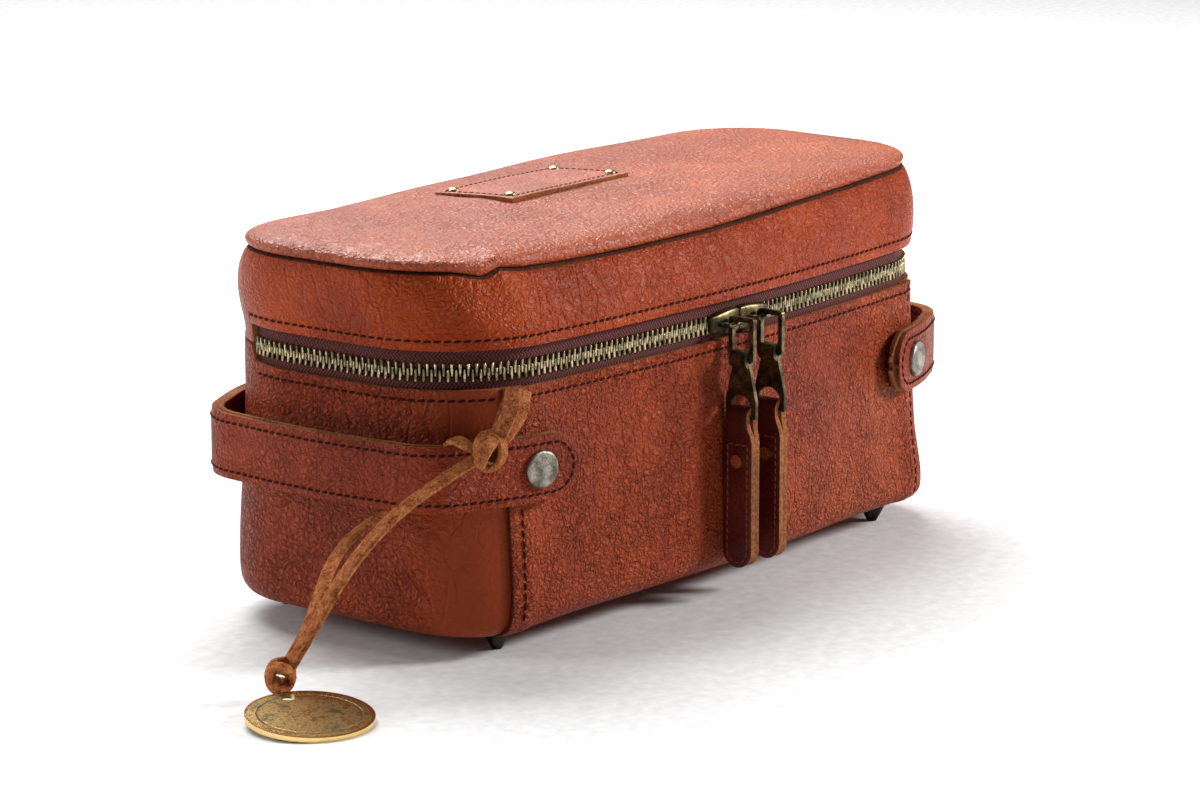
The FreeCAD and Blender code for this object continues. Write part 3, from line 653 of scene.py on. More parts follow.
@contextmanager
def editing(obj: bpy.types.Object) -> Iterator[None]:
    """Edit mode on one piece, with all of it selected.

    Args:
        obj: the piece.
    """
    choose(obj)
    bpy.ops.object.mode_set(mode="EDIT")
    bpy.ops.mesh.select_all(action="SELECT")
    yield
    bpy.ops.object.mode_set(mode="OBJECT")


def apply_modifier(obj: bpy.types.Object, kind: str, **values: object) -> None:
    """Add a modifier and apply it.

    Args:
        obj: the piece.
        kind: the modifier's type.
        values: its properties.
    """
    choose(obj)
    modifier = obj.modifiers.new(kind, kind)
    for key, value in values.items():
        setattr(modifier, key, value)
    bpy.ops.object.modifier_apply(modifier=modifier.name)


def smooth(obj: bpy.types.Object, degrees: float = 40.0) -> None:
    """Shade smooth, but not over edges sharper than the angle."""
    choose(obj)
    bpy.ops.object.shade_smooth_by_angle(angle=math.radians(degrees))


def mend(obj: bpy.types.Object, near: float = 1e-5) -> None:
    """Merge the doubles of a piece that are nearer than a distance in metres."""
    with editing(obj):
        bpy.ops.mesh.remove_doubles(threshold=near)


def join(name: str, pieces: Sequence[bpy.types.Object]) -> bpy.types.Object:
    """Make several pieces one.

    Args:
        name: the new piece's name.
        pieces: what is joined.

    Returns:
        The joined piece.
    """
    choose(pieces[0])
    for piece in pieces[1:]:
        piece.select_set(True)
    bpy.ops.object.join()
    return named(name)


def dress(obj: bpy.types.Object, *finishes: Finish) -> bpy.types.Object:
    """Give a piece its finishes, in the order of its slots.

    Args:
        obj: the piece.
        finishes: what goes in its slots.

    Returns:
        The piece.
    """
    slots = obj.data.materials
    for number, finish in enumerate(finishes):
        if number < len(slots):
            slots[number] = finish.material()
        else:
            slots.append(finish.material())
    return obj


def hand_over(obj: bpy.types.Object, body: str, slot: str, *nodes: str) -> bpy.types.Object:
    """Put a finished piece on its body.

    Args:
        obj: the piece.
        body: the body it rides on.
        slot: a material slot name; not used.
        nodes: the nodes it stands for.

    Returns:
        The piece.
    """
    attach(obj, body)
    if nodes:
        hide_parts(*nodes)
    LOG.info("%s: %d faces on %s", obj.name, len(obj.data.polygons) if obj.type == "MESH" else 0, body)
    return obj


def darken(piece: bpy.types.Object, chosen: Callable[[np.ndarray, np.ndarray], np.ndarray]) -> None:
    """Give some faces of a piece the near-black painted shade finish.

    Args:
        piece: the piece.
        chosen: which faces, by their middles in millimetres and their slots.
    """
    faces = piece.data.polygons
    middles, slots = np.empty(len(faces) * 3), np.empty(len(faces), int)
    faces.foreach_get("center", middles)
    faces.foreach_get("material_index", slots)
    slots[chosen(middles.reshape(-1, 3) / MM, slots)] = SHADE_SLOT
    faces.foreach_set("material_index", slots)


def unit(arrows: np.ndarray) -> np.ndarray:
    """Arrows brought to a length of 1."""
    return arrows / np.maximum(np.linalg.norm(arrows, axis=-1, keepdims=True), 1e-9)


def run_along(points: np.ndarray) -> np.ndarray:
    """The distance along a line to each of its points."""
    return np.concatenate([[0.0], np.cumsum(np.linalg.norm(np.diff(points, axis=0), axis=1))])


def hump(value: np.ndarray, middle: float, wide: float) -> np.ndarray:
    """A bell that is 1 at its middle."""
    return np.exp(-((value - middle) / wide) ** 2)


def through(points: Sequence[Sequence[float]], steps: int) -> np.ndarray:
    """Smooth line through points.

    Args:
        points: the points, of any size.
        steps: how many steps between two points.

    Returns:
        The line's points as an array.
    """
    given = np.array(points, float)
    padded = np.vstack([2 * given[0] - given[1], given, 2 * given[-1] - given[-2]])
    line = []
    for i in range(1, len(padded) - 2):
        a, b, c, d = padded[i - 1 : i + 3]
        square, cube = 2 * a - 5 * b + 4 * c - d, 3 * b - a - 3 * c + d
        line += [0.5 * (2 * b + (c - a) * t + square * t**2 + cube * t**3) for t in np.arange(steps) / steps]
    return np.array([*line, given[-1]])


def rise(value: np.ndarray, low: float, high: float) -> np.ndarray:
    """Smooth step from 0 at low to 1 at high."""
    t = np.clip((value - low) / (high - low), 0.0, 1.0)
    return t * t * (3 - 2 * t)


def sway(x: np.ndarray, y: np.ndarray, z: np.ndarray, size: float) -> np.ndarray:
    """Slow hand-made unevenness.

    Args:
        x: places in millimetres.
        y: places in millimetres.
        z: places in millimetres.
        size: its reach in millimetres.

    Returns:
        How far each place stands out.
    """
    wave = np.sin(x / 17.0 + 0.6 * np.sin(z / 11.0)) + 0.7 * np.sin(y / 13.0 + z / 19.0)
    return size * (wave + 0.5 * np.sin(x / 7.3 + z / 6.1 + y / 9.0)) / 2.2


class Surface:
    """Rows of points that a sheet of leather or cloth follows, in millimetres."""

    def __init__(self, rows: np.ndarray) -> None:
        """Keep the rows and work out the normals."""
        self.rows = rows
        self.normals = unit(np.cross(np.gradient(rows, axis=1), np.gradient(rows, axis=0)))

    def sample(self, v: np.ndarray, u: np.ndarray) -> Line:
        """Points and normals between the rows.

        Args:
            v: row numbers, with fractions.
            u: column numbers, with fractions.

        Returns:
            The points and the normals.
        """
        v = np.clip(v, 0, self.rows.shape[0] - 1.000001)
        u = np.clip(u, 0, self.rows.shape[1] - 1.000001)
        i, j = v.astype(int), u.astype(int)
        a, b = (v - i)[:, None], (u - j)[:, None]

        def pick(grid: np.ndarray) -> np.ndarray:
            """Blend the four corners round each place.

            Args:
                grid: points or normals.

            Returns:
                Their values at the places.
            """
            low = grid[i, j] * (1 - b) + grid[i, j + 1] * b
            high = grid[i + 1, j] * (1 - b) + grid[i + 1, j + 1] * b
            return low * (1 - a) + high * a

        return pick(self.rows), pick(self.normals)

    def level(self, z: float) -> Line:
        """The line at one height.

        Args:
            z: the height.

        Returns:
            Its points and normals.
        """
        tall, wide = self.rows.shape[:2]
        v = np.array([np.interp(z, self.rows[:, c, 2], np.arange(tall)) for c in range(wide)])
        return self.sample(v, np.arange(wide, dtype=float))

    def upright(self, x: float) -> Line:
        """The line at one place along the length.

        Args:
            x: the place.

        Returns:
            Its points and normals.
        """
        tall, wide = self.rows.shape[:2]
        u = np.array([np.interp(x, self.rows[r, :, 0], np.arange(wide)) for r in range(tall)])
        return self.sample(np.arange(tall, dtype=float), u)

    @staticmethod
    def lengths(rows: np.ndarray, axis: int) -> np.ndarray:
        """How far each point lies along its row (axis 1) or its column (axis 0)."""
        first = rows[:, :1] if axis else rows[:1]
        return np.cumsum(np.linalg.norm(np.diff(rows, axis=axis, prepend=first), axis=2), axis=axis)

    def sheet(self, name: str, thick: float = 0.0, rim: float = 0.35, weld: bool = False) -> bpy.types.Object:
        """Bend a grid to the rows.

        Args:
            name: the piece's name.
            thick: how thick the sheet is, inwards.
            rim: how far its cut edges are rounded.
            weld: merge rows and columns that meet.

        Returns:
            The sheet, its cut edges in the second material slot.
        """
        tall, wide = self.rows.shape[:2]
        deselect()
        bpy.ops.mesh.primitive_grid_add(x_subdivisions=wide - 1, y_subdivisions=tall - 1, size=1.0)
        obj = named(name)
        mesh = obj.data
        place = np.empty(len(mesh.vertices) * 3)
        mesh.vertices.foreach_get("co", place)
        place = place.reshape(-1, 3)
        column = np.rint((place[:, 0] + 0.5) * (wide - 1)).astype(int)
        row = np.rint((place[:, 1] + 0.5) * (tall - 1)).astype(int)
        mesh.vertices.foreach_set("co", (self.rows[row, column] * MM).ravel())
        run, climb = self.lengths(self.rows, 1), self.lengths(self.rows, 0)
        corner = np.empty(len(mesh.loops), int)
        mesh.loops.foreach_get("vertex_index", corner)
        flat = np.stack([run[row, column][corner], climb[row, column][corner]], axis=1) * MM
        mesh.uv_layers[0].name = "UVMap"
        mesh.uv_layers[0].data.foreach_set("uv", flat.ravel())
        mesh.update()
        if weld:
            mend(obj)
        if thick:
            dress(obj, Finish.BODY, Finish.EDGE)
            apply_modifier(obj, "SOLIDIFY", thickness=thick * MM, offset=-1.0, use_even_offset=True,
                           material_offset=EDGE_SLOT, material_offset_rim=EDGE_SLOT)
            if rim:
                apply_modifier(obj, "BEVEL", width=rim * MM, segments=2, limit_method="ANGLE",
                               angle_limit=math.radians(50), use_clamp_overlap=True)
        smooth(obj)
        return obj


def spread(name: str, model: bpy.types.Object, places: np.ndarray) -> bpy.types.Object:
    """Copy a small model to many places as one mesh.

    Args:
        name: the piece's name.
        model: what is copied, in millimetres; it is removed.
        places: a 4 by 4 matrix for each copy, in millimetres.

    Returns:
        The piece.
    """
    corners = np.array([v.co for v in model.data.vertices])
    faces = [tuple(p.vertices) for p in model.data.polygons]
    count = len(corners)
    points = np.einsum("nij,kj->nki", places[:, :3, :3], corners) + places[:, None, :3, 3]
    mesh = bpy.data.meshes.new(name)
    every = [tuple(i + n * count for i in face) for n in range(len(places)) for face in faces]
    mesh.from_pydata((points.reshape(-1, 3) * MM).tolist(), [], every)
    mesh.update()
    bpy.data.objects.remove(model)
    obj = put(name, mesh)
    smooth(obj)
    return obj


def frames_along(points: np.ndarray, normals: np.ndarray, pitch: float, start: float = 0.5,
                 sink: float = 0.0, slant: float = 0.0) -> np.ndarray:
    """Evenly spaced frames on a line: X along it, Z outwards.

    Args:
        points: the line.
        normals: the outward direction at each point.
        pitch: the spacing.
        start: the first frame's place, in pitches.
        sink: how far the frames lie outside the line.
        slant: how many degrees each is turned in the surface.

    Returns:
        A 4 by 4 matrix for each frame.
    """
    run = run_along(points)
    count = max(1, int((run[-1] - start * pitch) / pitch))
    at = (start + np.arange(count)) * (run[-1] / (count + 2 * start - 1 + 1e-9) if count > 1 else pitch)

    def pick(grid: np.ndarray, where: np.ndarray) -> np.ndarray:
        """Values at distances along the line."""
        return np.stack([np.interp(where, run, grid[:, k]) for k in range(3)], axis=1)

    place, out = pick(points, at), pick(normals, at)
    along = unit(pick(points, np.minimum(at + 0.4, run[-1])) - pick(points, np.maximum(at - 0.4, 0.0)))
    out = unit(out - along * np.sum(along * out, axis=1, keepdims=True))
    side = np.cross(out, along)
    c, s = math.cos(math.radians(slant)), math.sin(math.radians(slant))
    along, side = along * c + side * s, side * c - along * s
    frames = np.zeros((len(at), 4, 4))
    frames[:, :3, 0], frames[:, :3, 1], frames[:, :3, 2] = along, side, out
    frames[:, :3, 3] = place + out * sink
    frames[:, 3, 3] = 1.0
    return frames


def sew(name: str, lines: Sequence[Line], body: str, slot: str, pitch: float = 3.1,
        finish: Finish = Finish.THREAD, wide: float = 0.95) -> None:
    """Run stitches along lines.

    Args:
        name: the piece's name.
        lines: points and normals of each line.
        body: the body they ride on.
        slot: the name of its material slot.
        pitch: the stitch spacing in millimetres.
        finish: the thread.
        wide: the thread's width in millimetres.
    """
    deselect()
    bpy.ops.mesh.primitive_uv_sphere_add(segments=6, ring_count=5, radius=1.0)
    stitch = named("stitch")
    stitch.data.transform(Matrix.Rotation(math.radians(90), 4, "Y"))
    stitch.data.transform(Matrix.Diagonal((pitch * 0.42, wide * 0.5, wide * 0.42, 1.0)))
    places = np.concatenate([frames_along(p, n, pitch, sink=0.05, slant=7.0) for p, n in lines])
    hand_over(dress(spread(name, stitch, places), finish), body, slot)


def ribbon(name: str, points: Sequence[Sequence[float]], wide: float, thick: float, up: Sequence[float],
           closed: bool = False, steps: int = 6, twist: float = 0.0,
           heart: Sequence[float] | None = None) -> bpy.types.Object:
    """Flat lace along a smooth line through points.

    Args:
        name: the piece's name.
        points: the line, in millimetres.
        wide: the lace's width.
        thick: its thickness.
        up: the way its flat side faces.
        closed: join the last point to the first.
        steps: steps between two points.
        twist: turns of the flat side from end to end.
        heart: the middle of a knot that the flat side faces away from, in place of up.

    Returns:
        The lace, closed at its ends.
    """
    line = through([*points, points[0]] if closed else points, steps)
    along = unit(np.gradient(line, axis=0))
    way = np.tile(np.array(up, float), (len(line), 1)) if heart is None else line - np.array(heart, float)
    face = unit(way - along * np.sum(along * way, axis=1, keepdims=True))
    side = np.cross(along, face)
    turn = np.linspace(0.0, twist * TAU, len(line))[:, None]
    face, side = face * np.cos(turn) + side * np.sin(turn), side * np.cos(turn) - face * np.sin(turn)
    rows = []
    for angle in np.linspace(0.0, TAU, 11):
        c, s = math.cos(angle), math.sin(angle)
        reach = wide / 2 * math.copysign(abs(c) ** 0.6, c)
        lift = thick / 2 * math.copysign(abs(s) ** 0.8, s)
        rough = 0.08 * np.sin(np.arange(len(line)) * 1.9 + angle * 2)[:, None]
        rows.append(line + side * (reach + rough) + face * (lift + rough * 0.6))
    obj = Surface(np.array(rows)).sheet(name, weld=True)
    with editing(obj):
        bpy.ops.mesh.select_all(action="DESELECT")
        bpy.ops.mesh.select_non_manifold()
        bpy.ops.mesh.fill()
        bpy.ops.mesh.select_all(action="SELECT")
        bpy.ops.mesh.normals_make_consistent(inside=False)
    smooth(obj, 60.0)
    return obj


# ----------------------------------------------------------------------- plan


@dataclass(frozen=True)
class ZipPlan:
    """The bowed, round-cornered line that the zip and the walls follow, in millimetres."""

    half_length: float = 130.5
    half_depth: float = 59.8
    corner: float = 39.0
    front_bow: float = 1000.0
    end_bow: float = 900.0
    tooth_half: float = 1.5
    end_y: float = 35.0
    seam_x: float = 111.0
    quarter_points: int = 60
    merge: float = 2e-5

    @property
    def middle_y(self) -> float:
        """Where the plan's middle lies across the part."""
        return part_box("lower_zip_teeth")[0].y / MM + self.half_depth + self.tooth_half

    def corner_arc(self, out: Out) -> tuple:
        """Where one corner's arc lies for an offset.

        Args:
            out: how far the ends, the sides and the corner radius stand out.

        Returns:
            Its centre, radius, the front's bow, the two tangent points and the half sizes.
        """
        half_x, half_y = self.half_length + out[0], self.half_depth + out[1]
        radius = self.corner + out[2]
        bow_y, bow_x = self.front_bow + out[1], self.end_bow + out[0]
        front, end = np.array([0.0, half_y - bow_y]), np.array([half_x - bow_x, 0.0])
        gap = end - front
        span = float(np.linalg.norm(gap))
        reach_f, reach_e = bow_y - radius, bow_x - radius
        along = (reach_f**2 - reach_e**2 + span**2) / (2 * span)
        side = math.sqrt(reach_f**2 - along**2)
        ahead = gap / span
        foot = front + ahead * along
        across = np.array([-ahead[1], ahead[0]])
        centre = max((foot + across * side, foot - across * side), key=lambda p: p[0] + p[1])
        side_pt, end_pt = (centre + unit(centre - far) * radius for far in (front, end))
        return centre, radius, bow_y, side_pt, end_pt, half_x, half_y

    def ring(self, out: Out) -> np.ndarray:
        """The closed plan at one offset, from the middle of the back over the left end.

        Args:
            out: how far the ends, the sides and the corner radius stand out.

        Returns:
            Its points, the last the same as the first.
        """
        centre, radius, bow_y, side_pt, end_pt, half_x, half_y = self.corner_arc(out)
        bow_x = self.end_bow + out[0]
        third = self.quarter_points // 3

        def arc(mid: np.ndarray, r: float, a: np.ndarray, b: np.ndarray, count: int) -> np.ndarray:
            """Points on an arc, without its last one.

            Args:
                mid: the arc's centre.
                r: its radius.
                a: its first point.
                b: its last point.
                count: the number of points.

            Returns:
                The points.
            """
            low, high = math.atan2(*(a - mid)[::-1]), math.atan2(*(b - mid)[::-1])
            angle = low + (high - low) * np.arange(count) / count
            return mid + r * np.stack([np.cos(angle), np.sin(angle)], axis=1)

        quarter = np.vstack([
            arc(np.array([0.0, half_y - bow_y]), bow_y, np.array([0.0, half_y]), side_pt, third),
            arc(centre, radius, side_pt, end_pt, self.quarter_points - 2 * third),
            arc(np.array([half_x - bow_x, 0.0]), bow_x, end_pt, np.array([half_x, 0.0]), third),
            [[half_x, 0.0]],
        ])
        left_back = quarter * (-1, 1)
        left_front = (quarter * (-1, -1))[::-1]
        right_front = quarter * (1, -1)
        right_back = quarter[::-1]
        ring = np.vstack([left_back[:-1], left_front[:-1], right_front[:-1], right_back])
        return ring + (0.0, self.middle_y)

    def find(self, ring: np.ndarray, side: str, value: float) -> float:
        """Where a ring passes a place.

        Args:
            ring: the ring.
            side: front or back, for a place along the length, or left or right, for one across it.
            value: the place.

        Returns:
            The point's number, with its fraction.
        """
        q = self.quarter_points
        numbers = np.arange(len(ring), dtype=float)
        if side == "front":
            part = slice(q, 3 * q + 1)
            return float(np.interp(value, ring[part, 0], numbers[part]))
        if side == "left":
            part = slice(0, 2 * q + 1)
            return float(np.interp(-value, -ring[part, 1], numbers[part]))
        if side == "right":
            part = slice(2 * q, 4 * q + 1)
            return float(np.interp(value, ring[part, 1], numbers[part]))
        part = slice(3 * q, 4 * q + 1) if value > 0 else slice(0, q + 1)
        return float(np.interp(-value, -ring[part, 0], numbers[part]))

    def wall(self, levels: Sequence[Sequence[float]], start: tuple[str, float], stop: tuple[str, float],
             wide: int, relief: Callable | None = None) -> Surface:
        """A stretch of wall between two places on the plan.

        Args:
            levels: height and offsets of each row, from the bottom up.
            start: the side and place where it starts, seen from above against the clock.
            stop: the side and place where it stops.
            wide: the number of columns.
            relief: how far each place stands out further.

        Returns:
            The wall's outer surface.
        """
        rows = []
        for z, *out in levels:
            ring = self.ring(tuple(out))
            first, last = self.find(ring, *start), self.find(ring, *stop)
            count = len(ring) - 1
            if last <= first:
                last += count
            twice = np.vstack([ring, ring[1:]])
            run = run_along(twice)
            numbers = np.arange(len(twice), dtype=float)
            at = np.linspace(np.interp(first, numbers, run), np.interp(last, numbers, run), wide)
            x, y = np.interp(at, run, twice[:, 0]), np.interp(at, run, twice[:, 1])
            if relief is not None:
                along = unit(np.stack([np.gradient(x), np.gradient(y)], axis=1))
                reach = relief(x, y - self.middle_y, np.full(wide, z))
                x, y = x + along[:, 1] * reach, y - along[:, 0] * reach
            rows.append(np.stack([x, y, np.full(wide, z)], axis=1))
        return Surface(np.array(rows))

    def around(self, levels: Sequence[Sequence[float]], relief: Callable | None = None) -> np.ndarray:
        """A wall's rows all the way round, closed at the middle of the back.

        Args:
            levels: height and offsets of each row.
            relief: how far each place is lifted.

        Returns:
            The rows.
        """
        rows = []
        for z, *out in levels:
            ring = self.ring(tuple(out))
            height = np.full(len(ring), z)
            if relief is not None:
                height = height + relief(ring[:, 0], ring[:, 1] - self.middle_y, height)
            rows.append(np.column_stack([ring, height]))
        return np.array(rows)

    def draw_in(self, ring: np.ndarray, z: float, shares: Sequence[float]) -> list[np.ndarray]:
        """Copies of a ring, drawn in to the middle of the plan.

        Args:
            ring: the ring.
            z: the height of the middle.
            shares: each copy's size, as a share of the ring's.

        Returns:
            The copies, in the order of the shares.
        """
        centre = np.array([0.0, self.middle_y, z])
        return [centre + (ring - centre) * share for share in shares]

    def along_zip(self, levels: Sequence[Sequence[float]], wide: int,
                  relief: Callable | None = None) -> Surface:
        """The wall from one end of the zip to the other, over the front.

        Args:
            levels: height and offsets of each row, from the bottom up.
            wide: the number of columns.
            relief: how far each place stands out further.

        Returns:
            The wall's outer surface.
        """
        end = self.middle_y + self.end_y
        return self.wall(levels, ("left", end), ("right", end), wide, relief)

    def line(self, name: str, rows: Sequence[np.ndarray], body: str, node: str) -> None:
        """Line the body or the lid with a cloth bag.

        Args:
            name: the piece's name.
            rows: the cloth's rows, from the middle outwards or the other way.
            body: the body it rides on.
            node: the node it stands for.
        """
        cloth = Surface(np.array(rows)[:, ::-1]).sheet(name, weld=True)
        mend(cloth, self.merge)
        apply_modifier(cloth, "SOLIDIFY", thickness=0.6 * MM, offset=1.0)
        smooth(cloth, 60.0)
        hand_over(dress(cloth, Finish.LINING), body, "lining", node)


PLAN = ZipPlan()


# ----------------------------------------------------------------------- body


@dataclass
class Body:
    """The box of the bag: four panels, floor and lining."""

    foot_z: float = 8.0
    hem_z: float = 86.0
    back_z: float = 90.9
    leather: float = 2.0
    hem_stitch: float = 3.3
    seam_stitch: float = 4.0
    lap: float = 7.0
    floor_out: Out = (-2.2, -2.2, -12.0)
    floor_steps: tuple[float, ...] = (0.0, 6.0, 12.0, 20.0)
    lining_z: float = 12.9
    lining_foot: Out = (-6.6, -6.4, -15.0)
    strap_gap: tuple[float, float] = (49.0, 72.5)
    levels: np.ndarray = field(init=False)

    def __post_init__(self) -> None:
        """Work out the rows that all four panels share."""
        self.levels = through([
            (8.0, -4.6, -4.6, -13.0), (8.35, -2.4, -2.4, -12.0), (10.0, -0.3, 0.1, -10.0),
            (14.0, 1.5, 2.6, -6.5), (24.0, 2.0, 3.5, -4.3), (48.0, 1.6, 3.2, -1.5),
            (72.0, 2.1, 2.3, 1.8), (82.0, 2.2, 2.2, 2.2), (86.0, 2.2, 2.2, 2.2),
        ], 6)

    def hem_dip(self, z: np.ndarray) -> np.ndarray:
        """The shallow channel that the hem's stitches pull in."""
        return -0.35 * hump(z, self.hem_z - self.hem_stitch, 0.9)

    @staticmethod
    def flare(x: np.ndarray, z: np.ndarray) -> np.ndarray:
        """How the foot of the right end spreads."""
        return 2.6 * rise(x, 70.0, 112.0) * (1 - rise(z, 11.0, 38.0))

    def front_relief(self, x: np.ndarray, y: np.ndarray, z: np.ndarray) -> np.ndarray:
        """How the front or back panel stands out, lapping over the end panels.

        Args:
            x: places along the length.
            y: places across, from the middle.
            z: heights.

        Returns:
            How far each place stands out.
        """
        edge = np.abs(x)
        lap = 1.3 * rise(edge, PLAN.seam_x - 13.0, PLAN.seam_x - 5.0)
        sewn = -0.45 * hump(edge, PLAN.seam_x - self.seam_stitch, 1.0)
        return lap + sewn + self.hem_dip(z) + self.flare(x, z) + sway(x, y, z, 0.30)

    def end_relief(self, x: np.ndarray, y: np.ndarray, z: np.ndarray) -> np.ndarray:
        """How an end panel stands out, tucked under the front and back panels.

        Args:
            x: places along the length.
            y: places across, from the middle.
            z: heights.

        Returns:
            How far each place stands out.
        """
        tuck = -0.9 * (1 - rise(np.abs(x), PLAN.seam_x - 1.0, PLAN.seam_x + 4.0))
        tuck = tuck + self.flare(x, z) * (y < 0)
        return tuck + self.hem_dip(z) * (y < PLAN.end_y) + sway(x, y, z, 0.35)

    @staticmethod
    def settle(surface: Surface) -> Surface:
        """Let the front left corner sag towards the table.

        Args:
            surface: a wall.

        Returns:
            The wall with its foot sagging there.
        """
        rows = surface.rows.copy()
        x, y, z = rows[:, :, 0], rows[:, :, 1] - PLAN.middle_y, rows[:, :, 2]
        near = np.exp(-((x + 112.0) / 24.0) ** 2 - ((y + 54.0) / 26.0) ** 2)
        rows[:, :, 2] -= 1.7 * near * (1 - rise(z, 10.0, 50.0))
        return Surface(rows)

    def raise_back(self, surface: Surface) -> Surface:
        """Lift the hem behind the ends of the zip to the height of the hinge.

        Args:
            surface: a wall with its hem at the front's height.

        Returns:
            The wall with its rear part lifted.
        """
        rows, low = surface.rows.copy(), self.hem_z - 10.0
        share = np.clip((rows[:, :, 2] - low) / (self.hem_z - low), 0.0, 1.0)
        behind = rise(rows[:, :, 1] - PLAN.middle_y, PLAN.end_y - 1.5, PLAN.end_y + 1.5)
        rows[:, :, 2] += share * behind * (self.back_z - self.hem_z)
        return Surface(rows)

    def build(self) -> None:
        """Build and dress everything on the body."""
        x, tucked = PLAN.seam_x, PLAN.seam_x - self.lap
        front = PLAN.wall(self.levels, ("front", -x), ("front", x), 180, self.front_relief)
        back = PLAN.wall(self.levels, ("back", x), ("back", -x), 120, self.front_relief)
        left = PLAN.wall(self.levels, ("back", -tucked), ("front", -tucked), 130, self.end_relief)
        right = PLAN.wall(self.levels, ("front", tucked), ("back", tucked), 130, self.end_relief)
        front, back = self.settle(front), self.raise_back(back)
        left, right = self.settle(self.raise_back(left)), self.raise_back(right)
        for side, surface, finish in (("front", front, Finish.BODY), ("back", back, Finish.BODY),
                                      ("left_end", left, Finish.END), ("right_end", right, Finish.END)):
            panel = surface.sheet(f"{side}_leather", self.leather)
            dress(panel, finish, Finish.EDGE, Finish.DARK_EDGE)
            # Painted shade: the inner faces and cut edges below the hem get the near-black finish.
            darken(panel, lambda place, slot: (slot == EDGE_SLOT) & (place[:, 2] < self.hem_z - 2.2))
            hand_over(panel, "bag_body", "body_leather", f"{side}_panel")
        self.stitches(front, back, left, right)
        self.floor()
        self.lining()

    def stitches(self, front: Surface, back: Surface, left: Surface, right: Surface) -> None:
        """Sew the hem and the four lap seams.

        Args:
            front: the front panel.
            back: the back panel.
            left: the left end panel.
            right: the right end panel.
        """
        hem = self.hem_z - self.hem_stitch
        lines = [front.level(hem)]
        for surface in (left, right):
            points, normals = surface.level(hem)
            x, y = points[:, 0], points[:, 1] - PLAN.middle_y
            keep = (y < PLAN.end_y - 2) & ((np.abs(x) > PLAN.seam_x + 1) | (y > 0))
            lines.append((points[keep], normals[keep]))
        sew("hem_stitches", lines, "bag_body", "body_leather")
        seams, place = [], PLAN.seam_x - self.seam_stitch
        for surface, out in ((front, 1), (Surface(back.rows[:, ::-1]), -1)):
            for side in (-1, 1):
                points, normals = surface.upright(side * place)
                z = points[:, 2]
                for clear in ((z > 11.0) & (z < self.strap_gap[0]), z > self.strap_gap[1]):
                    seams.append((points[clear], out * normals[clear]))
        sew("seam_stitches", seams, "bag_body", "body_leather")

    def floor(self) -> None:
        """The leather bottom, closed towards its middle."""
        z = self.foot_z + 0.7
        rows = PLAN.around([(z, *(np.array(self.floor_out) - step)) for step in self.floor_steps])[::-1]
        middle = PLAN.draw_in(rows[0], z, (0.0, 0.25, 0.5, 0.75))
        under = Surface(np.array([*middle, *rows])).sheet("bottom_leather", self.leather - 0.4, weld=True)
        mend(under, PLAN.merge)
        hand_over(dress(under, Finish.END, Finish.EDGE), "bag_body", "body_leather", "bottom_panel")

    def lining(self) -> None:
        """The cloth inside, as one sewn bag."""
        low, high = self.lining_z, self.hem_z - self.leather
        wall = [(z, *(np.array(out) - 3.2)) for z, *out in self.levels if low + 1.0 < z < high - 1.0]
        rows = PLAN.around([(low, *self.lining_foot), *wall, (high, -1.0, -1.0, -1.0)])
        floor = PLAN.draw_in(rows[0], low, (0.0, 0.3, 0.6, 0.9))
        PLAN.line("bag_lining", [*floor, *rows], "bag_body", "body_lining")


# ------------------------------------------------------------------------ lid


